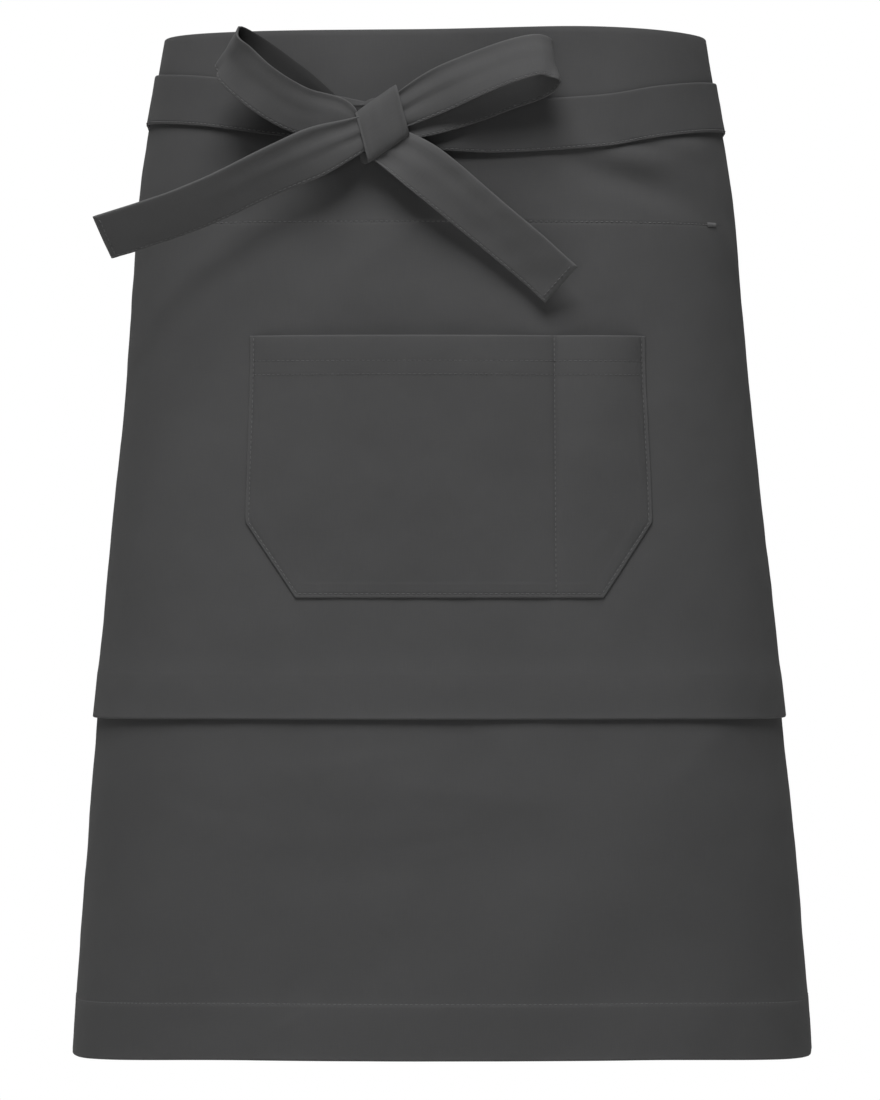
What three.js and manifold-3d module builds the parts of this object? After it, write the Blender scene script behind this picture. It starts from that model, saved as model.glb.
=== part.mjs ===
// Waist apron in plain twill, worn and tied in front with a bow. Millimetres, +Z up, the front faces -Y.
// The origin is the middle of the waist, at the height where the ties run round it.
import * as THREE from "three";
import { mergeVertices } from "three/addons/utils/BufferGeometryUtils.js";
import Module from "manifold-3d";

const wasm = await Module();
wasm.setup();

// Cloth
const CLOTH = 1;
const CLEARANCE = 0.3;
const PANEL_WIDTH = 760;
const APRON_LENGTH = 604;
const TOP_ABOVE_WAIST = 46;
const FRONT_PANEL_LENGTH = 405;
const SEAM_BELOW_TOP = 107;
const TURN_UP_DEPTH = 26;
const HEM_DEPTH = 33;
const TOP_EDGE_RISE = 2.6;
const HEM_SIDE_DROP = 4;
const LOWER_PANEL_SWING = 1.4;

// Waist that the apron goes round
const WAIST_HALF_WIDTH = 166;
const WAIST_FRONT_DEPTH = 105;
const WAIST_BACK_DEPTH = 95;
const SECTION_SQUARENESS = 2.8;

// Pocket
const POCKET_WIDTH = 240;
const POCKET_DEPTH = 154;
const POCKET_BELOW_TOP = 180;
const POCKET_RIGHT_OF_MIDDLE = 6.5;
const POCKET_MOUTH_INSET = 3.5;
const POCKET_CORNER_WIDTH = 30;
const POCKET_CORNER_HEIGHT = 45;
const POCKET_HEM = 23;
const POCKET_FULLNESS = 9.5;
const PEN_COMPARTMENT_WIDTH = 58;
const PEN_COMPARTMENT_FULLNESS = 8.5;

// Ties and bow
const STRAP_WIDTH = 30;
const STRAP_THICKNESS = 1.6;
const STRAP_END_THICKNESS = 2.4;
const STRAP_END_HEM = 12;
const SEWN_END_BELOW_TOP = 2;
const KNOT_LEFT_OF_MIDDLE = 32;
const KNOT_BELOW_WAIST = 10.5;
const KNOT_PROUD = 18;
const KNOT_DEPTH = 9.7;
const KNOT_WIDTH = 29.6;
const KNOT_HEIGHT = 31;
const CORE_WIDTH = 27;
const CORE_HEIGHT = 35;
const LOOP_LEFT_REACH = 100;
const LOOP_RIGHT_REACH = 108;
const TAIL_LEFT_REACH = 177;
const TAIL_RIGHT_REACH = 141;

// Deepest soft fold in the skirt
const FOLD_HEIGHT = 3;

// Grid of the skirt: columns round it, and rows down each stretch
const SKIRT_COLUMNS = 46;
const ROWS_ABOVE_SEAM = 5;
const ROWS_BEHIND_FRONT = 8;
const ROWS_BELOW_FRONT = 7;
const BACK_COLUMNS = 8;
const SECTION_SAMPLES = 180;

// Outline of the skirt: down is a share of the apron's length, the others are shares of the waist's sizes, and
// lean is how far the section's middle lies right of the waist's, as a share of the waist's half width.
const SKIRT_SECTIONS = [
  { down: 0, width: 0.966, front: 0.98, back: 1.03, lean: -0.008 },
  { down: 0.06, width: 1.003, front: 1, back: 1.08, lean: -0.008 },
  { down: 0.155, width: 1.06, front: 1.035, back: 1.17, lean: -0.005 },
  { down: 0.35, width: 1.117, front: 1.1, back: 1.3, lean: 0.001 },
  { down: 0.595, width: 1.21, front: 1.18, back: 1.4, lean: 0.007 },
  { down: 0.815, width: 1.27, front: 1.24, back: 1.46, lean: 0.015 },
  { down: 1, width: 1.32, front: 1.28, back: 1.5, lean: 0.019 },
];

// Soft folds: at is a share of half the panel's width from the middle, down, length and breadth are shares of
// the apron's length, turn is in degrees from level, and height is a share of the deepest fold.
const SKIRT_FOLDS = [
  { at: 0.3, down: 0.15, length: 0.07, breadth: 0.022, turn: -12, height: -0.7 },
  { at: 0.36, down: 0.118, length: 0.06, breadth: 0.018, turn: 8, height: 0.7 },
  { at: -0.24, down: 0.575, length: 0.08, breadth: 0.03, turn: 24, height: 0.35 },
  { at: -0.05, down: 0.735, length: 0.2, breadth: 0.03, turn: -3, height: 0.45 },
  { at: -0.1, down: 0.815, length: 0.16, breadth: 0.03, turn: 4, height: -0.4 },
  { at: 0.22, down: 0.83, length: 0.24, breadth: 0.06, turn: 48, height: 1 },
  { at: -0.3, down: 0.95, length: 0.1, breadth: 0.025, turn: 10, height: -0.35 },
  { at: -0.84, down: 0.9, length: 0.26, breadth: 0.045, turn: 88, height: 1 },
  { at: 0.85, down: 0.88, length: 0.26, breadth: 0.045, turn: 92, height: 1.1 },
  { at: -0.97, down: 0.93, length: 0.22, breadth: 0.035, turn: 87, height: -0.7 },
  { at: 0.98, down: 0.92, length: 0.22, breadth: 0.035, turn: 93, height: -0.8 },
];

// Ties: round is the way round from the front middle, as a share of half the panel's width, level is the
// height of the strap's middle and width its breadth, both as shares of the strap's width, and lift is how
// far it rises off the cloth towards the knot, as a share of the strap's thickness.
const TIE_RIGHT_ROUTE = [
  { round: -0.08, level: -0.42, width: 0.72, lift: 1.6 },
  { round: 0.02, level: -0.42, width: 0.9, lift: 1.3 },
  { round: 0.1, level: -0.41, width: 1, lift: 0.7 },
  { round: 0.26, level: -0.28, width: 1, lift: 0.1 },
  { round: 0.36, level: -0.05, width: 1, lift: 0 },
  { round: 0.46, level: 0.1, width: 1, lift: 0 },
  { round: 0.6, level: 0.16, width: 1, lift: 0 },
  { round: 0.78, level: 0.02, width: 1, lift: 0 },
  { round: 0.9, level: -0.21, width: 1, lift: 0 },
  { round: 1, level: -0.22, width: 1, lift: 0 },
];
const TIE_LEFT_ROUTE = [
  { round: 0.09, level: -0.3, width: 0.72, lift: 1.6 },
  { round: 0.16, level: -0.2, width: 0.92, lift: 1.3 },
  { round: 0.24, level: -0.05, width: 1, lift: 0.6 },
  { round: 0.4, level: 0.22, width: 1, lift: 0 },
  { round: 0.6, level: 0.31, width: 1, lift: 0 },
  { round: 0.78, level: 0.05, width: 1, lift: 0 },
  { round: 0.9, level: -0.21, width: 1, lift: 0 },
  { round: 1, level: -0.22, width: 1, lift: 0 },
];

// Bow: across and up are shares of the piece's reach from the knot's middle, stand is a share of how far the
// knot stands out, turn and lean (degrees) tip the strap's breadth sideways and outwards, width is a share.
const LOOP_LEFT_ROUTE = [
  { across: -0.06, up: 0.02, stand: 0.53, turn: 25, lean: 0, width: 0.7 },
  { across: -0.25, up: 0.01, stand: 0.5, turn: 35, lean: 0, width: 0.85 },
  { across: -0.53, up: 0.185, stand: 0.42, turn: 38, lean: 0, width: 1 },
  { across: -0.79, up: 0.38, stand: 0.5, turn: 38, lean: 0, width: 1 },
  { across: -0.9, up: 0.45, stand: 0.86, turn: 31, lean: 8, width: 1 },
  { across: -0.885, up: 0.385, stand: 1.22, turn: 13, lean: 14, width: 1 },
  { across: -0.735, up: 0.235, stand: 1.24, turn: 14, lean: 14, width: 1 },
  { across: -0.49, up: 0.087, stand: 0.9, turn: 8, lean: 8, width: 1 },
  { across: -0.29, up: 0.04, stand: 0.75, turn: 8, lean: 0, width: 0.9 },
  { across: -0.06, up: 0.02, stand: 0.72, turn: 20, lean: 0, width: 0.7 },
];
const LOOP_RIGHT_ROUTE = [
  { across: 0.05, up: 0, stand: 0.53, turn: -24, lean: 0, width: 0.7 },
  { across: 0.19, up: 0.04, stand: 0.5, turn: -22, lean: 0, width: 0.85 },
  { across: 0.44, up: 0.13, stand: 0.42, turn: -20, lean: 0, width: 1 },
  { across: 0.67, up: 0.215, stand: 0.42, turn: -17, lean: 0, width: 1 },
  { across: 0.85, up: 0.275, stand: 0.5, turn: -13, lean: 0, width: 0.95 },
  { across: 0.925, up: 0.335, stand: 0.9, turn: -11, lean: -8, width: 0.88 },
  { across: 0.86, up: 0.37, stand: 1.3, turn: -12, lean: -12, width: 0.84 },
  { across: 0.7, up: 0.335, stand: 1.4, turn: -16, lean: -12, width: 0.86 },
  { across: 0.47, up: 0.25, stand: 1.15, turn: -21, lean: -8, width: 0.88 },
  { across: 0.28, up: 0.165, stand: 0.85, turn: -25, lean: 0, width: 0.86 },
  { across: 0.05, up: 0.03, stand: 0.72, turn: -26, lean: 0, width: 0.7 },
];
const TAIL_LEFT_ROUTE = [
  { across: -0.03, up: -0.012, stand: 0.88, turn: -24, lean: 0, width: 0.72 },
  { across: -0.1, up: -0.045, stand: 0.92, turn: -24, lean: 6, width: 0.85 },
  { across: -0.22, up: -0.095, stand: 1.06, turn: -24, lean: 14, width: 1 },
  { across: -0.37, up: -0.16, stand: 1.04, turn: -24, lean: 24, width: 1 },
  { across: -0.52, up: -0.232, stand: 0.9, turn: -23, lean: 28, width: 1 },
  { across: -0.67, up: -0.295, stand: 0.66, turn: -21, lean: 30, width: 1 },
  { across: -0.816, up: -0.342, stand: 0.36, turn: -18, lean: 30, width: 1 },
  { across: -0.928, up: -0.376, stand: 0.1, turn: -17, lean: 30, width: 1 },
];
const TAIL_RIGHT_ROUTE = [
  { across: 0.01, up: -0.02, stand: 0.88, turn: 40, lean: 0, width: 0.72 },
  { across: 0.07, up: -0.105, stand: 0.92, turn: 41, lean: 0, width: 0.9 },
  { across: 0.178, up: -0.19, stand: 0.9, turn: 41, lean: 8, width: 1 },
  { across: 0.426, up: -0.395, stand: 0.68, turn: 41, lean: 16, width: 1 },
  { across: 0.6, up: -0.54, stand: 0.52, turn: 41, lean: 20, width: 1 },
  { across: 0.744, up: -0.668, stand: 0.42, turn: 41, lean: 20, width: 1 },
];

const { clamp, degToRad, lerp, smoothstep } = THREE.MathUtils;

const PANEL_HALF_WIDTH = PANEL_WIDTH / 2;
const COLUMN_STEP = PANEL_WIDTH / SKIRT_COLUMNS;
const TOP_LEVEL = TOP_ABOVE_WAIST;
const SEAM_LEVEL = TOP_LEVEL - SEAM_BELOW_TOP;
const FRONT_EDGE_LEVEL = TOP_LEVEL - FRONT_PANEL_LENGTH;
const HEM_LEVEL = TOP_LEVEL - APRON_LENGTH;

// The lower panel lies against the wearer, the front panel on it, and the pocket and ties on the front panel.
const LOWER_PANEL_FACE = CLOTH;
const FRONT_PANEL_BACK = LOWER_PANEL_FACE + CLEARANCE;
const FRONT_PANEL_FACE = FRONT_PANEL_BACK + CLOTH;
const STRAP_GAP = CLEARANCE * 1.5;

// A smooth value from a table, between the rows on each side of a place in its first column.
function tableValue(rows, key, name, place) {
  const at = clamp(place, rows[0][key], rows.at(-1)[key]);
  const next = Math.max(1, rows.findIndex((row) => row[key] >= at));
  const a = rows[next - 1];
  const b = rows[next];
  const span = b[key] - a[key];
  const slope = (low, high) => (high[name] - low[name]) / (high[key] - low[key]);
  const slopeA = next > 1 ? slope(rows[next - 2], b) : slope(a, b);
  const slopeB = next < rows.length - 1 ? slope(a, rows[next + 1]) : slope(a, b);
  const t = (at - a[key]) / span;
  const bend = t * (1 - t) * span;
  return lerp(a[name], b[name], t * t * (3 - 2 * t)) + bend * ((1 - t) * slopeA - t * slopeB);
}

const sections = new Map();

// Outline at one level, from the front middle round one side to the back middle: a superellipse, as points
// with their distance along it and their outward direction.
function sectionAt(level) {
  const key = level.toFixed(3);
  if (sections.has(key)) {
    return sections.get(key);
  }
  const down = (TOP_LEVEL - level) / APRON_LENGTH;
  const halfWidth = WAIST_HALF_WIDTH * tableValue(SKIRT_SECTIONS, "down", "width", down);
  const front = WAIST_FRONT_DEPTH * tableValue(SKIRT_SECTIONS, "down", "front", down);
  const back = WAIST_BACK_DEPTH * tableValue(SKIRT_SECTIONS, "down", "back", down);
  const power = SECTION_SQUARENESS;
  const points = [];
  let along = 0;
  for (let i = 0; i <= SECTION_SAMPLES; i += 1) {
    const angle = (Math.PI * i) / SECTION_SAMPLES;
    const depth = angle < Math.PI / 2 ? front : back;
    const sine = Math.abs(Math.sin(angle));
    const cosine = Math.abs(Math.cos(angle));
    const radius = ((sine / halfWidth) ** power + (cosine / depth) ** power) ** (-1 / power);
    const x = radius * Math.sin(angle);
    const y = -radius * Math.cos(angle);
    const normalX = Math.abs(x / halfWidth) ** (power - 1) / halfWidth;
    const normalY = (Math.sign(y) * Math.abs(y / depth) ** (power - 1)) / depth;
    const size = Math.hypot(normalX, normalY);
    along += i > 0 ? Math.hypot(x - points[i - 1].x, y - points[i - 1].y) : 0;
    points.push({ x, y, along, normalX: normalX / size, normalY: normalY / size });
  }
  const lean = WAIST_HALF_WIDTH * tableValue(SKIRT_SECTIONS, "down", "lean", down);
  const section = { points, front, lean, halfGirth: along };
  sections.set(key, section);
  return section;
}

// Height of the soft folds above the plain skirt. They fade out under the ties.
function foldHeight(around, level) {
  const belowTies = smoothstep(-level, STRAP_WIDTH * 0.55, STRAP_WIDTH * 1.4);
  let height = 0;
  for (const fold of SKIRT_FOLDS) {
    const turn = degToRad(fold.turn);
    const dx = around - fold.at * PANEL_HALF_WIDTH;
    const dz = level - (TOP_LEVEL - fold.down * APRON_LENGTH);
    const lengthwise = (dx * Math.cos(turn) + dz * Math.sin(turn)) / (fold.length * APRON_LENGTH);
    const crosswise = (dz * Math.cos(turn) - dx * Math.sin(turn)) / (fold.breadth * APRON_LENGTH);
    height += fold.height * Math.exp(-(lengthwise ** 2) - crosswise ** 2);
  }
  return height * FOLD_HEIGHT * belowTies;
}

// The top edge rises a little right of the middle, and the hem hangs a little lower at the sides.
function levelShift(around, level) {
  const rise = Math.exp(-(((around - PANEL_HALF_WIDTH * 0.25) / (PANEL_HALF_WIDTH * 0.18)) ** 2));
  const nearTop = smoothstep(level, SEAM_LEVEL, TOP_LEVEL);
  const aside = smoothstep(Math.abs(around), PANEL_HALF_WIDTH * 0.3, PANEL_HALF_WIDTH * 0.7);
  const down = clamp((TOP_LEVEL - level) / APRON_LENGTH, 0, 1);
  return TOP_EDGE_RISE * rise * nearTop - HEM_SIDE_DROP * aside * down ** 3;
}

// A point on the skirt: around is the distance from the front middle (past the back middle it comes round
// from the other side), level the height on the cloth, and out the distance out from the wearer.
function onSkirt(around, level, out) {
  const { points, halfGirth, lean } = sectionAt(level);
  let place = around;
  if (Math.abs(place) > halfGirth) {
    place -= Math.sign(place) * 2 * halfGirth;
  }
  const side = Math.sign(place) || 1;
  const distance = Math.abs(place);
  let high = points.length - 1;
  let low = 0;
  while (high - low > 1) {
    const middle = (high + low) >> 1;
    if (points[middle].along > distance) {
      high = middle;
    } else {
      low = middle;
    }
  }
  const a = points[low];
  const b = points[high];
  const t = (distance - a.along) / (b.along - a.along);
  const offset = out + foldHeight(place, level);
  const x = lerp(a.x, b.x, t) + offset * lerp(a.normalX, b.normalX, t);
  const y = lerp(a.y, b.y, t) + offset * lerp(a.normalY, b.normalY, t);
  return new THREE.Vector3(side * x + lean, y, level + levelShift(place, level));
}

// A closed geometry from points and triangles, turned so that its faces point out.
function closedGeometry(points, triangles) {
  let volume = 0;
  for (const [a, b, c] of triangles) {
    volume += points[a].dot(new THREE.Vector3().crossVectors(points[b], points[c]));
  }
  const turned = volume < 0 ? triangles.map(([a, b, c]) => [a, c, b]) : triangles;
  const geometry = new THREE.BufferGeometry();
  const positions = points.flatMap((point) => point.toArray());
  geometry.setAttribute("position", new THREE.Float32BufferAttribute(positions, 3));
  geometry.setIndex(turned.flat());
  return geometry;
}

// A sheet with thickness: face and back are grids of points, [column][row], joined round their four edges.
function sheetGeometry(face, back) {
  const columns = face.length;
  const rows = face[0].length;
  const points = [...face.flat(), ...back.flat()];
  const faceAt = (i, j) => i * rows + j;
  const backAt = (i, j) => columns * rows + i * rows + j;
  const triangles = [];
  const quad = (a, b, c, d) => triangles.push([a, b, c], [a, c, d]);
  for (let i = 0; i < columns - 1; i += 1) {
    for (let j = 0; j < rows - 1; j += 1) {
      quad(faceAt(i, j), faceAt(i + 1, j), faceAt(i + 1, j + 1), faceAt(i, j + 1));
      triangles.push([backAt(i, j), backAt(i + 1, j + 1), backAt(i + 1, j)]);
      triangles.push([backAt(i, j), backAt(i, j + 1), backAt(i + 1, j + 1)]);
    }
    quad(faceAt(i + 1, 0), faceAt(i, 0), backAt(i, 0), backAt(i + 1, 0));
    quad(faceAt(i, rows - 1), faceAt(i + 1, rows - 1), backAt(i + 1, rows - 1), backAt(i, rows - 1));
  }
  for (let j = 0; j < rows - 1; j += 1) {
    quad(faceAt(0, j), faceAt(0, j + 1), backAt(0, j + 1), backAt(0, j));
    const last = columns - 1;
    quad(faceAt(last, j + 1), faceAt(last, j), backAt(last, j), backAt(last, j + 1));
  }
  return closedGeometry(points, triangles);
}

// A solid lofted through rings of points, with a flat end on the first and the last.
function loftGeometry(rings) {
  const sides = rings[0].length;
  const points = rings.flat();
  const triangles = [];
  for (let i = 0; i < rings.length - 1; i += 1) {
    for (let j = 0; j < sides; j += 1) {
      const a = i * sides + j;
      const b = i * sides + ((j + 1) % sides);
      triangles.push([a, a + sides, b + sides], [a, b + sides, b]);
    }
  }
  const last = (rings.length - 1) * sides;
  for (let j = 1; j < sides - 1; j += 1) {
    triangles.push([0, j, j + 1], [last, last + j + 1, last + j]);
  }
  return closedGeometry(points, triangles);
}

function toManifold(geometry) {
  const bare = geometry.clone();
  bare.deleteAttribute("normal");
  bare.deleteAttribute("uv");
  const merged = mergeVertices(bare);
  const vertProperties = new Float32Array(merged.attributes.position.array);
  const triVerts = new Uint32Array(merged.index.array);
  return new wasm.Manifold(new wasm.Mesh({ numProp: 3, vertProperties, triVerts }));
}

// The geometry without what the cutters take up.
function cutAway(geometry, cutters) {
  let solid = toManifold(geometry);
  for (const cutter of cutters) {
    solid = solid.subtract(toManifold(cutter));
  }
  const mesh = solid.getMesh();
  const result = new THREE.BufferGeometry();
  result.setAttribute("position", new THREE.Float32BufferAttribute(mesh.vertProperties, 3));
  result.setIndex(new THREE.Uint32BufferAttribute(mesh.triVerts, 1));
  return result;
}

function clothMesh(name, geometry, color) {
  const mesh = new THREE.Mesh(geometry, new THREE.MeshStandardMaterial({ color, roughness: 0.92, metalness: 0 }));
  mesh.name = name;
  return mesh;
}

// Evenly spaced levels from one to another, without the last.
function levelsBetween(from, to, steps) {
  return Array.from({ length: steps }, (_, i) => lerp(from, to, i / steps));
}

// A skirt layer from rows of { level, face, back }, over all the columns round it.
function skirtLayer(rows) {
  const columns = Array.from({ length: SKIRT_COLUMNS + 1 }, (_, i) => i * COLUMN_STEP - PANEL_HALF_WIDTH);
  const face = columns.map((around) => rows.map((row) => onSkirt(around, row.level, row.face)));
  const back = columns.map((around) => rows.map((row) => onSkirt(around, row.level, row.back)));
  return sheetGeometry(face, back);
}

// Levels that the front panel and the lower panel share, so that they lie on each other without crossing.
const HIDDEN_LEVELS = levelsBetween(SEAM_LEVEL, FRONT_EDGE_LEVEL + TURN_UP_DEPTH, ROWS_BEHIND_FRONT);
const FOLD_ROUNDING = CLOTH * 0.6;
const FOLD_INSET = CLOTH * 0.55;
const TURN_UP_LEVELS = [
  FRONT_EDGE_LEVEL + TURN_UP_DEPTH,
  FRONT_EDGE_LEVEL + TURN_UP_DEPTH * 0.5,
  FRONT_EDGE_LEVEL + FOLD_ROUNDING,
];

// The front panel ends below in a fold: the cloth is turned up behind it, which pushes its face out.
function frontPanel() {
  const plain = { back: FRONT_PANEL_BACK, face: FRONT_PANEL_FACE };
  const doubled = FRONT_PANEL_FACE + CLOTH;
  const levels = [...levelsBetween(TOP_LEVEL, SEAM_LEVEL, ROWS_ABOVE_SEAM), ...HIDDEN_LEVELS];
  const rows = levels.map((level) => ({ level, ...plain }));
  rows.push({ level: TURN_UP_LEVELS[0], back: FRONT_PANEL_BACK, face: FRONT_PANEL_FACE + CLOTH * 0.4 });
  rows.push({ level: TURN_UP_LEVELS[1], back: FRONT_PANEL_BACK, face: doubled });
  rows.push({ level: TURN_UP_LEVELS[2], back: FRONT_PANEL_BACK, face: doubled });
  rows.push({ level: FRONT_EDGE_LEVEL, back: FRONT_PANEL_BACK + FOLD_INSET, face: doubled - FOLD_INSET });
  return clothMesh("front_panel", skirtLayer(rows), 0x464646);
}

// The lower panel starts behind the seam, comes out below the front panel and ends in a turned hem.
function lowerPanel() {
  const hemTop = HEM_LEVEL + HEM_DEPTH;
  const swing = (level) => LOWER_PANEL_SWING * smoothstep(FRONT_EDGE_LEVEL - level, 0, HEM_DEPTH * 2);
  const visible = levelsBetween(FRONT_EDGE_LEVEL, hemTop, ROWS_BELOW_FRONT);
  const levels = [...HIDDEN_LEVELS, ...TURN_UP_LEVELS, ...visible];
  const rows = levels.map((level) => ({ level, back: swing(level), face: swing(level) + LOWER_PANEL_FACE }));
  const fullSwing = swing(hemTop);
  const doubled = { back: fullSwing - CLOTH, face: fullSwing + LOWER_PANEL_FACE };
  rows.push({ level: hemTop, back: fullSwing, face: doubled.face });
  rows.push({ level: hemTop - CLOTH, ...doubled });
  rows.push({ level: HEM_LEVEL + FOLD_ROUNDING, ...doubled });
  rows.push({ level: HEM_LEVEL, back: doubled.back + FOLD_INSET, face: doubled.face - FOLD_INSET });
  return clothMesh("lower_panel", skirtLayer(rows), 0x434343);
}

const POCKET_LEFT = POCKET_RIGHT_OF_MIDDLE - POCKET_WIDTH / 2;
const POCKET_RIGHT = POCKET_RIGHT_OF_MIDDLE + POCKET_WIDTH / 2;
const POCKET_DIVIDER = POCKET_RIGHT - PEN_COMPARTMENT_WIDTH;
const MAIN_COLUMNS = 14;
const PEN_COLUMNS = 6;

// Pocket rows: depth is the distance below the mouth.
function pocketDepths() {
  const cornerStart = POCKET_DEPTH - POCKET_CORNER_HEIGHT;
  const hem = [0, POCKET_HEM, POCKET_HEM + CLOTH];
  const middle = levelsBetween(POCKET_HEM * 2, cornerStart, 4);
  const corner = levelsBetween(cornerStart, POCKET_DEPTH, 4);
  return [...hem, ...middle, ...corner, POCKET_DEPTH];
}

// Patch pocket with its lower corners cut off. It is sewn flat at its sides, its bottom and the divider, and
// stands open at the mouth of each compartment.
function pocket() {
  const mouth = TOP_LEVEL - POCKET_BELOW_TOP;
  const sewnGap = CLEARANCE * 1.4;
  const edgeInset = (depth) => {
    const flare = POCKET_MOUTH_INSET * (1 - smoothstep(depth, 0, POCKET_DEPTH * 0.8));
    const cornerShare = (depth - POCKET_DEPTH + POCKET_CORNER_HEIGHT) / POCKET_CORNER_HEIGHT;
    return flare + POCKET_CORNER_WIDTH * clamp(cornerShare, 0, 1);
  };
  const columns = [];
  for (let i = 0; i <= MAIN_COLUMNS; i += 1) {
    columns.push({ share: i / MAIN_COLUMNS, main: true });
  }
  for (let i = 1; i <= PEN_COLUMNS; i += 1) {
    columns.push({ share: i / PEN_COLUMNS, main: false });
  }
  const depths = pocketDepths();
  const place = ({ share, main }, depth) => {
    const from = main ? POCKET_LEFT + edgeInset(depth) : POCKET_DIVIDER;
    const to = main ? POCKET_DIVIDER : POCKET_RIGHT - edgeInset(depth);
    const around = lerp(from, to, share);
    const fullness = main ? POCKET_FULLNESS : PEN_COMPARTMENT_FULLNESS;
    const crown = (4 * share * (1 - share)) ** 0.55;
    const fall = (1 - (depth / POCKET_DEPTH) ** 1.6) ** 1.2;
    const back = FRONT_PANEL_FACE + sewnGap + fullness * crown * fall;
    const thickness = depth <= POCKET_HEM ? CLOTH * 2 : CLOTH;
    return [onSkirt(around, mouth - depth, back + thickness), onSkirt(around, mouth - depth, back)];
  };
  const grid = columns.map((column) => depths.map((depth) => place(column, depth)));
  const face = grid.map((column) => column.map((pair) => pair[0]));
  const back = grid.map((column) => column.map((pair) => pair[1]));
  return clothMesh("pocket", sheetGeometry(face, back), 0x454545);
}

// A tie lies on the front panel from the knot round its own side, drops below the end of the other tie, and
// crosses the open back to where it is sewn on, at the far top corner of the front panel.
function tieGeometry(side, route, liftAtBack, cutters) {
  const sewnLevel = (TOP_LEVEL - SEWN_END_BELOW_TOP) / STRAP_WIDTH - 0.5;
  const passedLevel = route.at(-1).level;
  const edgeColumn = SKIRT_COLUMNS / 2;
  const frontColumn = Math.floor((route[0].round * PANEL_HALF_WIDTH) / COLUMN_STEP);
  const places = [];
  for (let i = frontColumn; i < edgeColumn; i += 1) {
    const around = i * COLUMN_STEP;
    const round = around / PANEL_HALF_WIDTH;
    const level = tableValue(route, "round", "level", round);
    const width = tableValue(route, "round", "width", round);
    const offCloth = STRAP_THICKNESS * tableValue(route, "round", "lift", round);
    const lift = offCloth + liftAtBack * smoothstep(i, edgeColumn - 3, edgeColumn);
    places.push({ around: () => around, level, width, lift });
  }
  for (let i = 0; i <= BACK_COLUMNS; i += 1) {
    const share = i / BACK_COLUMNS;
    const around = (halfGirth) => lerp(PANEL_HALF_WIDTH, 2 * halfGirth - PANEL_HALF_WIDTH, share);
    places.push({ around, level: lerp(passedLevel, sewnLevel, share), width: 1, lift: liftAtBack });
  }
  for (let i = 1; i <= 2; i += 1) {
    const around = (halfGirth) => 2 * halfGirth - PANEL_HALF_WIDTH + i * COLUMN_STEP;
    places.push({ around, level: sewnLevel, width: 1, lift: CLEARANCE });
  }
  const across = [-0.5 * side, 0, 0.5 * side].reverse();
  const grid = (thickness) =>
    places.map((place) =>
      across.map((share) => {
        const level = (place.level + share * place.width) * STRAP_WIDTH;
        const out = FRONT_PANEL_FACE + STRAP_GAP + place.lift + thickness;
        return onSkirt(side * place.around(sectionAt(level).halfGirth), level, out);
      }),
    );
  return cutAway(sheetGeometry(grid(STRAP_THICKNESS), grid(0)), cutters);
}

const KNOT_MIDDLE_LEVEL = -KNOT_BELOW_WAIST;
// The bow stands on the foremost part of the front panel behind it.
const BOW_PLANE = sectionAt(KNOT_MIDDLE_LEVEL - CORE_HEIGHT * 0.6).front + FRONT_PANEL_FACE;

function bowPoint(dx, dz, stand) {
  return new THREE.Vector3(dx - KNOT_LEFT_OF_MIDDLE, -BOW_PLANE - stand, KNOT_MIDDLE_LEVEL + dz);
}

// A point of a loop or a tail, which stands out from the front of the skirt at its own level.
function ribbonPoint(dx, dz, stand) {
  const fall = sectionAt(KNOT_MIDDLE_LEVEL + dz).front - sectionAt(KNOT_MIDDLE_LEVEL).front;
  return bowPoint(dx, dz, stand + fall);
}

// A rounded cushion of wound strap: rings across its breadth, each an oval in height and depth. grow makes it
// larger all round, for cutting a clearance into what comes out of it.
function windingGeometry({ dx, dz, width, height, inner, outer, breadthTurn, heightTurn, crease }, grow) {
  const breadth = new THREE.Vector2(Math.cos(breadthTurn), Math.sin(breadthTurn));
  const upright = new THREE.Vector2(-Math.sin(heightTurn), Math.cos(heightTurn));
  const sides = 20;
  const rows = [
    { share: -1, size: 0.86 },
    { share: -0.86, size: 0.96 },
    { share: -0.45, size: 1 },
    { share: 0, size: 0.985 },
    { share: 0.45, size: 1 },
    { share: 0.86, size: 0.96 },
    { share: 1, size: 0.86 },
  ];
  const rings = rows.map(({ share, size }) => {
    const ring = [];
    for (let i = 0; i < sides; i += 1) {
      const angle = (2 * Math.PI * i) / sides;
      const round = (value) => Math.sign(value) * Math.abs(value) ** 0.72;
      const high = ((height / 2) * size + grow) * round(Math.cos(angle));
      const dent = crease * Math.cos(share * Math.PI * 1.5) * Math.max(0, Math.sin(angle));
      const deep = (((outer - inner) / 2) * size + grow - dent) * round(Math.sin(angle));
      const wide = share * (width / 2 + grow);
      const x = dx + wide * breadth.x + high * upright.x;
      const z = dz + wide * breadth.y + high * upright.y;
      ring.push(bowPoint(x, z, (inner + outer) / 2 + deep));
    }
    return ring;
  });
  return loftGeometry(rings);
}

// The knot's band runs up and down over the bow's middle, slanted. The core is the first half of the knot.
const KNOT = {
  dx: 0,
  dz: 0,
  width: KNOT_WIDTH,
  height: KNOT_HEIGHT,
  inner: KNOT_PROUD - KNOT_DEPTH,
  outer: KNOT_PROUD,
  breadthTurn: degToRad(35),
  heightTurn: degToRad(15),
  crease: 0.5,
};
const CORE = {
  dx: -KNOT_WIDTH * 0.05,
  dz: -KNOT_HEIGHT * 0.08,
  width: CORE_WIDTH,
  height: CORE_HEIGHT,
  inner: CLEARANCE,
  outer: KNOT.inner - CLEARANCE,
  breadthTurn: degToRad(20),
  heightTurn: degToRad(12),
  crease: 0,
};

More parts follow.
